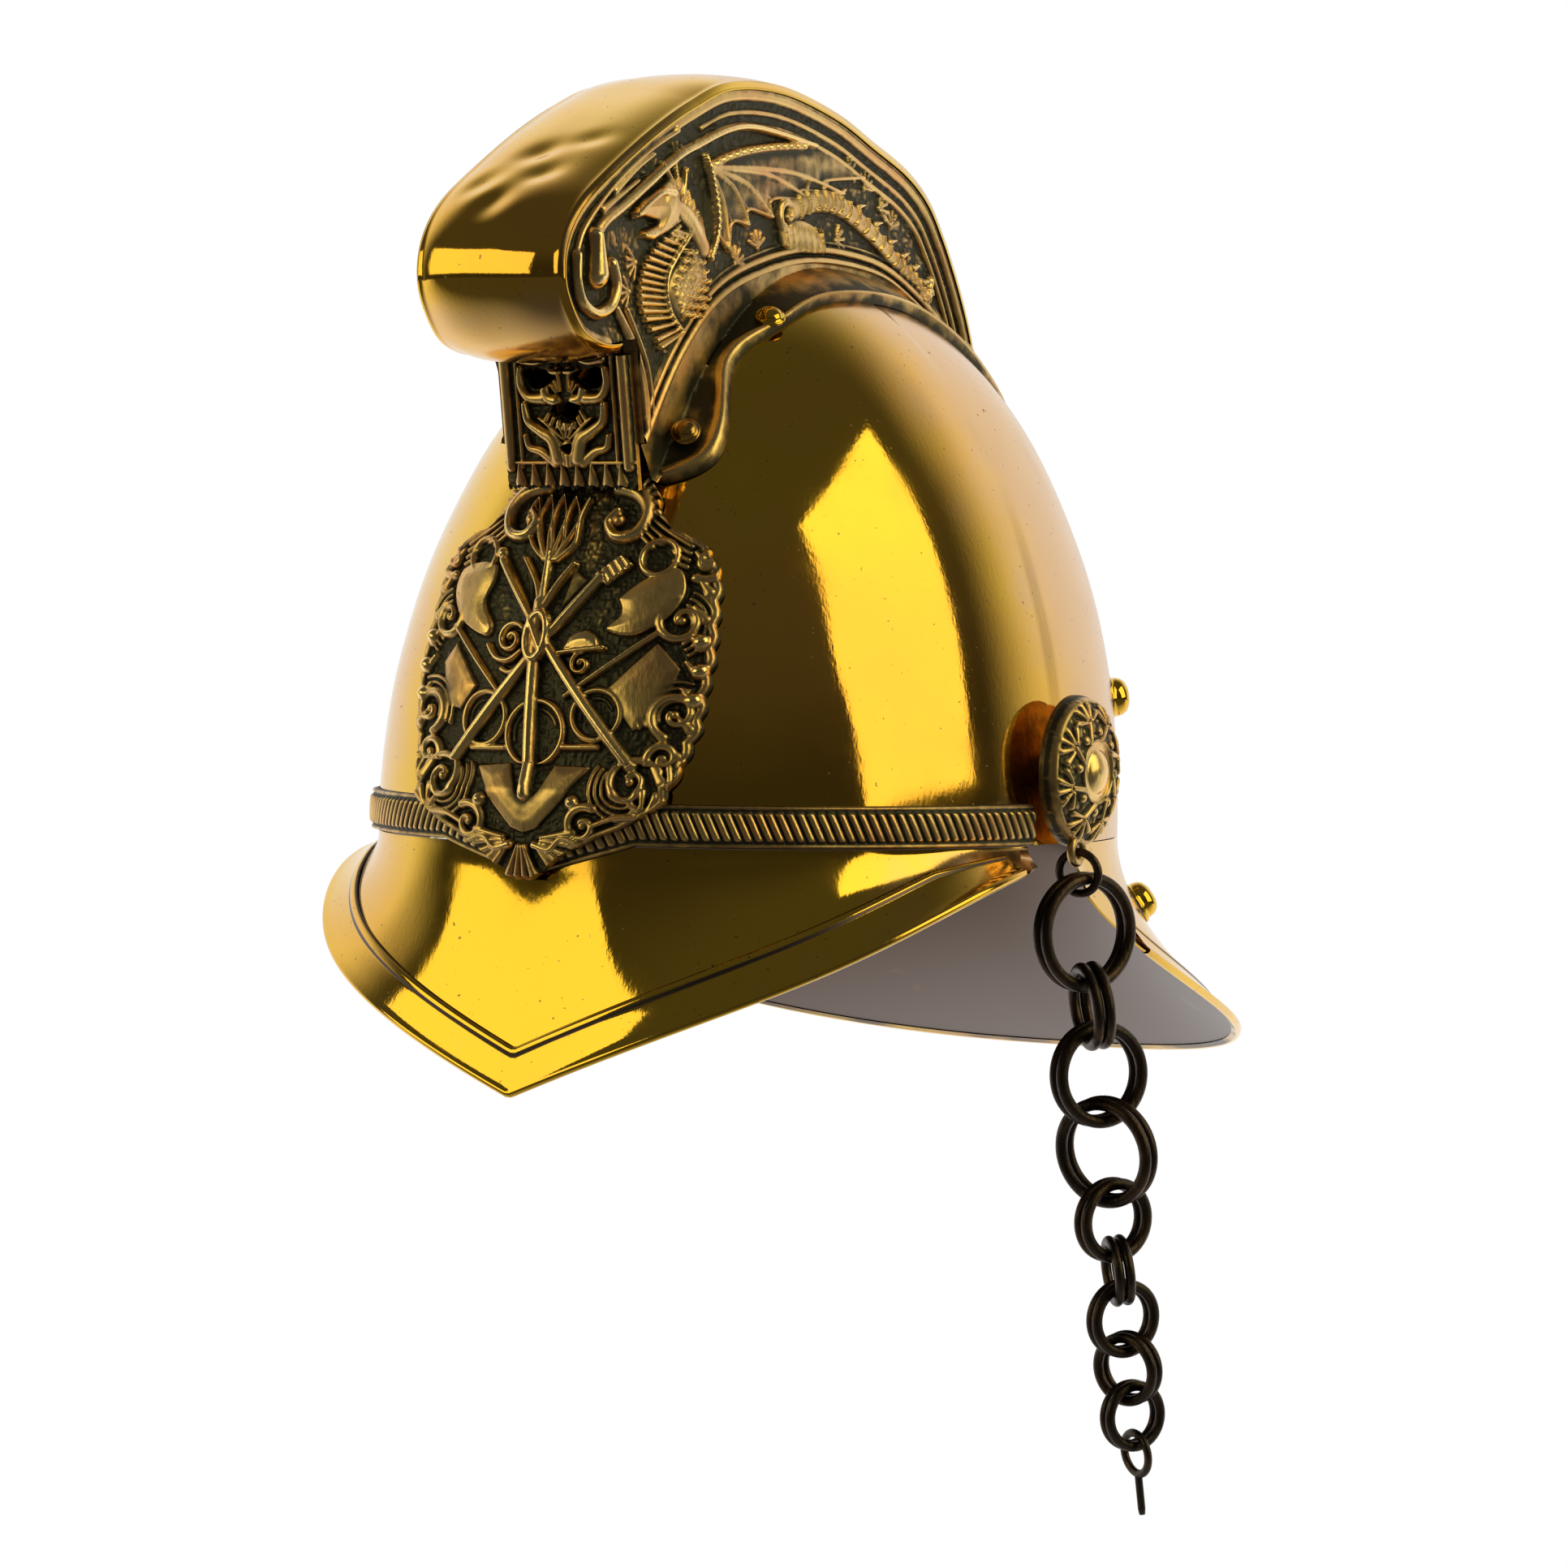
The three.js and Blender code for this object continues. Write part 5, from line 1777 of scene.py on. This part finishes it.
    def carve_panels(self, relief: Relief) -> None:
        """Lays the smooth polished panels between the tools.

        Args:
            relief: Relief to work.
        """
        heart = [(-18, 16.5), (-6.5, 17.5), (-3, 11), (0, 8.8), (4, 11), (7, 17.4), (18, 17), (11.5, 8),
                 (4, 0.5), (0, -0.8), (-4, 0.5), (-12, 8.5)]
        relief.plateau(heart, 1.3, 0.7, 0.5)
        relief.plateau([(31, 51), (38.2, 43.6), (34, 29.2), (27.4, 26.6), (18.6, 37.5)], 1.2, 0.7, 0.5)
        relief.plateau([(-31, 50), (-20.5, 38), (-25.6, 31), (-31.6, 32), (-35.6, 44)], 1.2, 0.7, 0.5)
        relief.plateau([(-7.5, 67), (-12.5, 71), (-6.5, 57.5)], 1.0, 0.6)
        relief.plateau([(3.8, 70), (9.4, 66.5), (1.6, 57.5)], 1.0, 0.6)

    def carve_tools(self, relief: Relief) -> None:
        """Lays the flames, rings, blades, shafts, torch, knot and the small helmet and hose.

        Args:
            relief: Relief to work.
        """
        for n in range(9):
            aside = n - 4
            sway = 1.0 if n % 2 else -1.0
            flame = [(-3.8 + 0.5 * aside, 71.5), (-4.2 + 1.7 * aside, 77 + sway),
                     (-5.0 + 2.1 * aside + sway, 83),
                     (-5.4 + 2.0 * aside - sway, 89.5 - 0.35 * abs(aside))]
            relief.bead(curve(flame), (1.0, 0.45), 2.5)
        for centre, radius in (((0, 25.8), 8.6), ((-16.8, 29.4), 7.0), ((17.4, 31.0), 6.6)):
            relief.bead(arc(centre, radius, 0, 360, 40), 0.95, 1.9)
            relief.bead(arc(centre, radius - 2.1, 20, 200, 24), 0.5, 0.9)
        relief.bead([(-20, 21.5), (-9, 21.8)], 1.0, 1.9)
        relief.bead([(9, 22.4), (19, 22.6)], 1.0, 1.9)
        relief.bead([(-32, 53.6), (-12.5, 36.0)], (1.1, 0.7), 2.4)
        relief.bead([(30.4, 52.6), (8.0, 35.6)], (1.1, 0.7), 2.4)
        for blade in ([(-20.5, 70.5), (-27, 71.4), (-34.6, 69), (-35.6, 62), (-30.5, 54.6), (-20.6, 50.6),
                       (-18.4, 54.2), (-22.2, 60), (-20.5, 65.8), (-20.5, 70.5)],
                      [(18.2, 61.6), (24.5, 67.2), (32.6, 70.4), (36, 64), (32.8, 56.4), (24.6, 51.6),
                       (16.4, 53.2), (19.8, 57.6), (18.2, 61.6)]):
            relief.plateau(curve(blade, 50), 1.9, 0.8, 0.6)
        relief.hollow((15.2, 58.4), 3.9, 0.0)
        relief.hollow((-17.0, 60.6), 3.4, 0.0)
        relief.plateau([(10.2, 67.5), (17.2, 73.4), (21.4, 70.6), (14.8, 64.6)], 2.6, 0.5)
        for n in range(5):
            relief.groove([(12.6 + 1.5 * n, 68.4 + 1.2 * n), (14.8 + 1.5 * n, 65.9 + 1.2 * n)], 0.35, 0.8)
        for path in ([(-19, 71), (27.4, 18.4)], [(12.8, 67.2), (-25.4, 18.6)]):
            relief.bead(path, (1.6, 2.0), 3.3)
        relief.bead([(26.4, 19.4), (28.2, 17.2)], 2.2, 3.2)
        relief.ball((-20.4, 73.2), 2.0, 3.0)
        relief.bead([(-3.8, 60), (0, 10.2)], (2.3, 1.9), 3.7)
        relief.ball((0.1, 9.6), 2.0, 3.6)
        relief.bead(curve([(-3.6, 59), (-6, 65), (-11.4, 71.6)]), (1.3, 0.8), 3.2)
        relief.bead(curve([(-3.0, 59), (-3.6, 66), (-4.2, 73.4)]), (1.6, 0.9), 3.4)
        relief.bead(curve([(-2.4, 59), (0.6, 65), (4.4, 70.4)]), (1.3, 0.8), 3.2)
        relief.bead(oval(3.0, 6.0, 30, (-2.6, 51)), 1.1, 1.6, 2.6)
        relief.bead([(-5.2, 55), (-0.2, 47)], 0.9, 1.3, 3.0)
        cap = [(4.8, 47.2), (7, 51.8), (12, 53.6), (15.6, 51), (14.8, 47.8), (4.8, 47.2)]
        relief.plateau(curve(cap, 30), 2.2, 1.0, 0.9)
        relief.bead([(4.6, 47), (17.0, 48.6)], 0.8, 2.8)
        relief.bead(scroll((11.4, 44.2), 3.2, 90, 1.2), 0.8, 2.2)
        relief.bead(scroll((-11.2, 50.4), 4.4, 40, 1.3), 0.95, 2.5)
        relief.bead(curve([(-7.2, 47.4), (-11, 44.8), (-15.4, 45.4), (-18.6, 48.6)]), 1.0, 2.4)
        relief.bead(curve([(-6.4, 43.6), (-10, 41.6), (-13, 42.4)]), 0.9, 2.2)

    def build(self) -> None:
        """Lays the badge on the front of the skull, stepping out over the rope band."""
        u, v = lattice(self.rows, self.columns)
        x = (1 - 2 * u) * self.outline(v[:, 0], soften=2)[:, None]
        z = self.foot_z + v * self.height
        out = self.gap + self.over_band * np.clip((self.band_top + 9 - z) / 7, 0, 1)
        base = np.stack([x, SKULL.front_y(x, z, out), z], axis=-1)
        normal = normals(base)
        normal *= np.where(normal[..., 1:2] > 0, -1, 1)
        relief = self.carve(x, z)
        rim = np.minimum(np.minimum(u, 1 - u) * 2 * self.columns / 5, np.minimum(v, 1 - v) * self.rows / 4)
        height = self.sheet + relief.height * step(0, 1, rim)
        worn = relief.worn(8, 0.34)
        outer = base + normal * height[..., None]
        skirt = np.concatenate([outer[:, :1], outer, outer[:, -1:]], axis=1)
        skirt = np.concatenate([skirt[:1], skirt, skirt[-1:]], axis=0)
        foot = np.pad(base, ((1, 1), (1, 1), (0, 0)), mode="edge")
        for edge in (np.s_[0, :], np.s_[-1, :], np.s_[:, 0], np.s_[:, -1]):
            skirt[edge] = foot[edge]
        make_piece("badge_relief", [Patch(skirt, np.pad(worn, 1, mode="edge"))], Slot.CAST, ["badge_plate"],
                   inside_out=True)


def turned(profile: Sequence[Point], sides: int) -> Array:
    """Surface of revolution about +Z.

    Args:
        profile: Radius and height of each row.
        sides: Points round each row.

    Returns:
        Rows x sides x 3 points.
    """
    rows = np.array(profile, float)
    turn = np.linspace(0, 2 * np.pi, sides, endpoint=False)
    x = rows[:, :1] * np.cos(turn)
    y = rows[:, :1] * np.sin(turn)
    return np.stack([x, y, rows[:, 1:] + 0 * x], axis=-1)


def torus(radius: float, wire: float, sides: int = 64, wire_sides: int = 18, squash: float = 1.0) -> Array:
    """Ring of round wire about +X.

    Args:
        radius: Outside radius.
        wire: Wire diameter.
        sides: Points round the ring.
        wire_sides: Points round the wire.
        squash: Share of the wire's diameter that its width along X has.

    Returns:
        Sides + 1 rows of wire_sides points, of which the last row is the first again.
    """
    turn = np.linspace(0, 2 * np.pi, sides + 1)[:, None]
    around = np.linspace(0, -2 * np.pi, wire_sides, endpoint=False)[None, :]
    middle = radius - wire / 2 + wire / 2 * np.cos(around)
    x = wire / 2 * squash * np.sin(around) + 0 * turn
    return np.stack([x, middle * np.cos(turn), middle * np.sin(turn)], axis=-1)


def placed(points: Array, matrix: Matrix) -> Array:
    """Points moved by a matrix.

    Args:
        points: Points with a last axis of 3.
        matrix: 4 x 4 matrix, in millimetres.

    Returns:
        Moved points.
    """
    rows = np.array(matrix)
    return points @ rows[:3, :3].T + rows[:3, 3]


@dataclass(frozen=True)
class EarLoop:
    """Loop under the left boss from which the chain hangs."""

    at: tuple[float, float, float] = (105.9, -4.0, -4.8)
    radius: float = 4.6
    wire: float = 2.2
    stouter: float = 0.3


EAR_LOOP = EarLoop()


@dataclass
class EarBoss:
    """Oval boss over each ear, cast with oak leaves round a plain dome, with a loop for the chain."""

    side: Side
    y: float = 0.0
    z: float = 17.0
    back: float = 101.9
    half_width: float = 20.0
    half_height: float = 21.0
    wall: float = 1.5
    dome: float = 6.6
    button: float = 0.36
    button_rise: float = 9.63
    post_radius: float = 5.5

    def rise(self, share: Array) -> Array:
        """Height of the boss over its back at a share of its radius.

        Args:
            share: 0 at the middle, 1 at the rim.

        Returns:
            Heights: a dome out of a low wall, and a plain button at the middle.
        """
        dome = self.wall + self.dome * np.sqrt(np.maximum(0, 1 - share**2.2))
        button = 0.6 + self.button_rise * np.maximum(0, 1 - (share / self.button) ** 2) ** 0.25
        return np.maximum(dome, np.where(share < self.button, button, 0))

    def carve(self, y: Array, z: Array) -> Relief:
        """Works the leaves.

        Args:
            y: Places along.
            z: Heights.

        Returns:
            The relief.
        """
        relief = Relief(y, z)
        relief.stipple(0.7, 1.4, 1.0, 91)
        for n in range(8):
            turn = 2 * np.pi * n / 8 + 0.3
            at = (13.4 * math.cos(turn), 14.2 * math.sin(turn))
            relief.fan(at, 5.4, math.degrees(turn) - 75, math.degrees(turn) + 75, 5, 1.1, 1.5)
            near = (8.6 * math.cos(turn + 0.3), 9.0 * math.sin(turn + 0.3))
            relief.bead([near, at], (1.2, 0.8), 1.4)
            relief.ball((10.6 * math.cos(turn + 0.39), 11.2 * math.sin(turn + 0.39)), 1.5, 1.5)
        relief.bead(oval(18.9, 19.8, 60), 1.0, 1.1)
        relief.bead(arc((0, 0), 8.4, 0, 360, 40), 0.9, 1.2)
        return relief

    def build(self) -> None:
        """Lays the boss, its post and its loop."""
        share = np.concatenate([np.linspace(0.0, 0.34, 22), np.linspace(0.345, 0.375, 6),
                                np.linspace(0.39, 1, 64)])
        turn = np.linspace(0, 2 * np.pi, 220, endpoint=False)
        r, t = np.meshgrid(share, turn, indexing="ij")
        y, z = r * self.half_width * np.cos(t), r * self.half_height * np.sin(t)
        relief = self.carve(y, z)
        lift = self.rise(r) + relief.height * step(0.38, 0.44, r) * step(1.0, 0.97, r)
        worn = np.where(r < 0.38, 0.85, relief.worn(3, 0.5))
        face = np.stack([self.back + lift, self.y + y, self.z + z], axis=-1)
        wall = np.stack([face[-1], face[-1] * (0, 1, 1) + (self.back, 0, 0)])
        rear = np.stack([wall[1], wall[1] * (1, 0, 0) + (0, self.y, self.z)])
        inward = float(SKULL.side_x(np.array([self.y]), np.array([self.z]))[0]) - 1.0
        post = turned([(self.post_radius, 0), (self.post_radius, self.back + 1 - inward)], 32)
        to_ear = Matrix(((0, 0, 1, inward), (1, 0, 0, self.y), (0, 1, 0, self.z), (0, 0, 0, 1)))
        loop = torus(EAR_LOOP.radius, EAR_LOOP.wire + EAR_LOOP.stouter) + np.array(EAR_LOOP.at)
        patches = [Patch(face, worn, True), Patch(wall, 0.4, True), Patch(rear, 0.5, True),
                   Patch(placed(post, to_ear), 0.5, True), Patch(loop, 0.55, True)]
        if self.side is Side.RIGHT:
            patches = [Patch(patch.points * (-1, 1, 1), patch.worn, True).flipped() for patch in patches]
        patches = [patch.flipped() if n < 3 else patch for n, patch in enumerate(patches)]
        make_piece(f"ear_boss_{self.side.word}_cast", patches, Slot.CAST, [f"ear_boss_{self.side.word}"])


@dataclass
class Heads:
    """Domed studs and rivets, each on the place of its CAD node."""

    stud: tuple[Point, ...] = (
        (6.5, 0), (6.5, 0.8), (6.2, 1.1), (5.6, 1.2), (5.7, 2.2), (5.3, 3.8), (4.4, 5.0), (2.8, 5.8),
        (1.2, 6.0), (0, 6.05),
    )
    rivet: tuple[Point, ...] = (
        (4.2, 0), (4.2, 0.4), (3.9, 0.7), (3.3, 0.7), (3.2, 1.3), (2.6, 2.1), (1.6, 2.5), (0.7, 2.6),
        (0, 2.62),
    )
    stud_wear: float = 0.6
    rivet_wear: float = 0.36
    sides: int = 48

    def seat(self, node: str) -> Matrix:
        """Place of a head: the foot of its node, and outwards the direction in which the node is flattest.

        Args:
            node: Name of the CAD node.

        Returns:
            Matrix from the head's own axes, +Z outwards, to the part.
        """
        corners = np.array([v.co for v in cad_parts[node].data.vertices]) / MM
        middle = corners.mean(axis=0)
        flat = corners - middle
        axis = np.linalg.svd(flat, full_matrices=False)[2][2]
        axis = axis if axis @ middle > 0 else -axis
        foot = middle + axis * (flat @ axis).min()
        turn = Vector(axis).to_track_quat("Z", "Y").to_matrix().to_4x4()
        return Matrix.Translation(Vector(foot)) @ turn

    def build(self) -> None:
        """Lays the ten heads."""
        studs = [f"{where}_stud_{side.word}" for where in ("skull", "guard") for side in Side]
        rivets = [f"comb_rivet_{where}_{side.word}" for where in ("front", "middle", "rear") for side in Side]
        for nodes, profile, worn in ((studs, self.stud, self.stud_wear),
                                     (rivets, self.rivet, self.rivet_wear)):
            for node in nodes:
                seat = self.seat(node)
                head = placed(turned(profile, self.sides), seat)
                base = placed(turned([(0, 0), profile[0]], self.sides), seat)
                patches = [Patch(head, worn, True), Patch(base, 0.3, True)]
                make_piece(f"{node}_head", patches, Slot.POLISHED, [node])


@dataclass
class Chain:
    """Graduated pairs of rings that hang from the left boss by a hook, with a pin at the end."""

    lean_y: float = 0.14
    lean_x: float = 0.06
    clearance: float = 0.8
    gap: float = 0.5
    sides: int = 10
    hook_radius: float = 6.8
    hook_wire: float = 1.8
    pin_length: float = 12.0
    pin_radius: float = 1.1
    stouter: float = 0.6
    # Outside radius, wire diameter and turn in degrees of each pair
    pairs: tuple[tuple[float, float, float], ...] = (
        (16.2, 2.9, -25), (12.2, 2.8, 45), (14.6, 2.9, -30), (15.2, 2.9, -95), (11.6, 2.7, -27),
        (9.6, 2.5, 40), (10.6, 2.5, -32), (10.2, 2.4, -97), (9.6, 2.3, -30),
    )

    def inner(self, radius: float, wire: float) -> float:
        """Inside radius of the CAD ring at its flat top and bottom.

        Args:
            radius: Outside radius.
            wire: Wire diameter.

        Returns:
            The radius.
        """
        return (radius - wire) * math.cos(math.pi / self.sides)

    def ring(self, radius: float, wire: float, matrix: Matrix) -> Patch:
        """One ring, a little uneven as hand forged rings are.

        Args:
            radius: Outside radius.
            wire: Wire diameter.
            matrix: Place of the ring.

        Returns:
            Its patch.
        """
        points = torus(radius + self.stouter / 2, wire + self.stouter, squash=0.92)
        points[..., 1:] *= 1 + 0.012 * np.cos(2 * np.arctan2(points[..., 2:], points[..., 1:2]) + radius)
        return Patch(placed(points, matrix), 0.5, True)

    def build(self) -> None:
        """Hangs the hook, the pairs and the pin down one leaning line."""
        lean = Matrix.Rotation(self.lean_y, 4, "X") @ Matrix.Rotation(-self.lean_x, 4, "Y")
        hang = Matrix.Translation(Vector(EAR_LOOP.at)) @ lean
        hook = self.inner(self.hook_radius, self.hook_wire)
        z = -self.inner(EAR_LOOP.radius, EAR_LOOP.wire) - hook + self.clearance
        place = hang @ Matrix.Translation((0, 0, z)) @ Matrix.Rotation(math.pi / 2, 4, "Z")
        hook_ring = self.ring(self.hook_radius, self.hook_wire, place)
        make_piece("hook_ring", [hook_ring], Slot.BRONZE, ["chain_hook"])
        above = hook
        for n, (radius, wire, degrees) in enumerate(self.pairs, start=1):
            z -= above + self.inner(radius, wire) - self.clearance
            above = self.inner(radius, wire)
            turn = math.radians(degrees)
            for k, letter in enumerate("ab"):
                aside = (k - 0.5) * (wire + self.gap)
                at = Matrix.Translation((aside * math.cos(turn), aside * math.sin(turn), z))
                patch = self.ring(radius, wire, hang @ at @ Matrix.Rotation(turn, 4, "Z"))
                make_piece(f"ring_{n}{letter}", [patch], Slot.BRONZE, [f"chain_ring_{n}{letter}"])
        place = hang @ Matrix.Translation((0, 0, z - above - hook + self.clearance))
        place = place @ Matrix.Rotation(math.radians(self.pairs[-1][2] + 90), 4, "Z")
        top = -(self.hook_radius - self.hook_wire / 2)
        point = top - self.pin_length
        pin = turned([(0, point), (self.pin_radius * 0.8, point + 0.3), (self.pin_radius, point + 2),
                      (self.pin_radius, top + 0.4)], 16)
        end_ring = self.ring(self.hook_radius, self.hook_wire, place)
        patches = [end_ring, Patch(placed(pin, place), 0.5, True)]
        make_piece("end_pin", patches, Slot.BRONZE, ["chain_end_pin"])


@dataclass(frozen=True)
class Softbox:
    """Rectangular studio light that faces the helmet."""

    name: str
    azimuth: float
    elevation: float
    distance: float
    size: tuple[float, float]
    watts: float
    roll: float = 0.0
    colour: Colour = (1.0, 0.92, 0.50)

    def build(self, target: Vector) -> None:
        """Sets the light up.

        Args:
            target: Point that it faces, in metres.
        """
        data = bpy.data.lights.new(self.name, "AREA")
        data.shape = "RECTANGLE"
        data.size, data.size_y = self.size
        data.energy = self.watts
        data.color = self.colour
        lamp = bpy.data.objects.new(self.name, data)
        a, e = math.radians(self.azimuth), math.radians(self.elevation)
        away = Vector((math.sin(a) * math.cos(e), -math.cos(a) * math.cos(e), math.sin(e)))
        lamp.location = target + away * self.distance
        lamp.rotation_mode = "QUATERNION"
        roll = Quaternion((0, 0, 1), math.radians(self.roll))
        lamp.rotation_quaternion = away.to_track_quat("Z", "Y") @ roll
        lamp.visible_camera = False
        bpy.context.scene.collection.objects.link(lamp)


@dataclass
class Studio:
    """Pale floor, bright surroundings behind the helmet, dark ones in front, and the photo's camera."""

    azimuth: float = 30.0
    elevation: float = 2.0
    roll: float = 1.0
    distance: float = 1500.0
    lens: float = 120.25
    sensor: float = 36.0
    shift_right: float = 8.918
    shift_up: float = 10.029
    floor_z: float = -0.30
    floor_rings: tuple[float, ...] = (3000.0, 1500.0, 700.0, 0.01)
    floor_sides: int = 96
    white_light: float = 0.95
    shade_light: float = 0.07
    aim: Colour = (0.0, 0.0, 0.06)
    boxes: tuple[Softbox, ...] = (
        Softbox("key_box", azimuth=96.5, elevation=25.0, distance=1.6, size=(1.16, 1.5), watts=9.3, roll=10.0),
        Softbox("left_box", azimuth=-36.0, elevation=14.0, distance=1.6, size=(1.4, 0.80), watts=4.9),
    )

    def axes(self) -> tuple[Vector, Vector, Vector]:
        """Camera axes in the part's frame.

        Returns:
            Right, up and back, with the roll applied.
        """
        a, e, r = (math.radians(value) for value in (self.azimuth, self.elevation, self.roll))
        right = Vector((math.cos(a), math.sin(a), 0))
        back = Vector((math.sin(a) * math.cos(e), -math.cos(a) * math.cos(e), math.sin(e)))
        up = back.cross(right)
        return right * math.cos(r) + up * math.sin(r), up * math.cos(r) - right * math.sin(r), back

    def build_camera(self) -> None:
        """Sets the camera up at the photo's place."""
        right, up, back = self.axes()
        data = bpy.data.cameras.new("photo_camera")
        data.sensor_width = self.sensor
        data.lens = self.lens
        data.clip_start, data.clip_end = 0.05, 50.0
        camera = bpy.data.objects.new("photo_camera", data)
        turn = Matrix((right, up, back)).transposed().to_4x4()
        spot = (right * self.shift_right + up * self.shift_up + back * self.distance) * MM
        camera.matrix_world = Matrix.Translation(spot) @ turn
        bpy.context.scene.collection.objects.link(camera)
        bpy.context.scene.camera = camera

    def build_world(self) -> None:
        """Lights the surroundings: white behind the helmet, dark above it and on the camera's side."""
        world = bpy.data.worlds.new("studio")
        book = NodeBook(world)
        direction = book.node("ShaderNodeTexCoord").outputs["Generated"]
        apart = book.node("ShaderNodeSeparateXYZ")
        book.link(direction, apart.inputs[0])
        height = apart.outputs["Z"]
        behind = book.spread(book.along(direction, self.axes()[2]), -0.58, -0.12, 1.0, 0.0)
        below = book.spread(height, 0.55, 0.94, 1.0, 0.12)
        shade = book.spread(height, 0.05, 0.60, 0.5 * self.shade_light, self.shade_light)
        bright = book.math("MULTIPLY", behind, below)
        light = book.math("MULTIPLY_ADD", bright, self.white_light - self.shade_light, shade)
        background = world.node_tree.nodes["Background"]
        background.inputs["Color"].default_value = (1.0, 1.0, 1.0, 1.0)
        book.link(book.math("MAXIMUM", light, book.camera_ray()), background.inputs["Strength"])
        bpy.context.scene.world = world

    def floor_paint(self) -> bpy.types.Material:
        """Makes the floor's material: pale paint that fades outwards into a glow as white as the background.

        In the brass the glow is mirrored dark on the camera's side.

        Returns:
            The material.
        """
        material = bpy.data.materials.new("floor_paint")
        book = NodeBook(material)
        paint = material.node_tree.nodes["Principled BSDF"]
        paint.inputs["Base Color"].default_value = (0.88, 0.87, 0.86, 1)
        paint.inputs["Roughness"].default_value = 0.9
        glow = book.node("ShaderNodeEmission")
        mirrored = book.spread(book.along(book.place, -self.axes()[2]), -0.35, 0.30, self.shade_light, 1.0)
        book.link(book.math("MAXIMUM", mirrored, book.camera_ray()), glow.inputs["Strength"])
        reach = book.node("ShaderNodeVectorMath")
        reach.operation = "LENGTH"
        book.link(book.place, reach.inputs[0])
        both = book.node("ShaderNodeMixShader")
        book.link(book.spread(reach.outputs["Value"], 0.12, 0.5), both.inputs[0])
        book.link(paint.outputs[0], both.inputs[1])
        book.link(glow.outputs[0], both.inputs[2])
        book.link(both.outputs[0], material.node_tree.nodes["Material Output"].inputs["Surface"])
        return material

    def build_floor(self) -> None:
        """Lays a pale round floor that fades into the background."""
        rings = turned([(radius, 0) for radius in self.floor_rings], self.floor_sides)
        points = rings.reshape(-1, 3) * MM + (0, 0, self.floor_z)
        quads = grid_quads(len(self.floor_rings), self.floor_sides, wrap=True).reshape(-1, 4)
        mesh = bpy.data.meshes.new("floor")
        mesh.from_pydata(points.tolist(), [], quads.tolist())
        mesh.materials.append(self.floor_paint())
        floor = bpy.data.objects.new("floor", mesh)
        bpy.context.scene.collection.objects.link(floor)

    def build(self) -> None:
        """Sets up the camera, the surroundings, the floor and the lights."""
        bpy.context.scene.view_settings.view_transform = "Standard"
        self.build_camera()
        self.build_world()
        self.build_floor()
        for box in self.boxes:
            box.build(Vector(self.aim))


FRONT_RIM = Rim(reach=126, tip_z=-70, half_width=108, side_y=-17, side_z=-9, roundness=2.2, root=1.42)
REAR_RIM = Rim(reach=204, tip_z=-77, half_width=105, side_y=7, side_z=-9, roundness=2.6, root=1.66)


def main() -> None:
    """Builds every piece of the helmet and the studio round it."""
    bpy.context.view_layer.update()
    for assembly in (
        SkullShell(),
        Peak("front_peak", FRONT_RIM, rear=False),
        Peak("rear_guard", REAR_RIM, rear=True),
        RopeBand(),
        CombTop(),
        CombSide(Side.LEFT),
        CombSide(Side.RIGHT),
        NeckPlate(),
        Badge(),
        EarBoss(Side.LEFT),
        EarBoss(Side.RIGHT),
        Heads(),
        Chain(),
        Studio(),
    ):
        assembly.build()


if __name__ == "__main__":
    main()
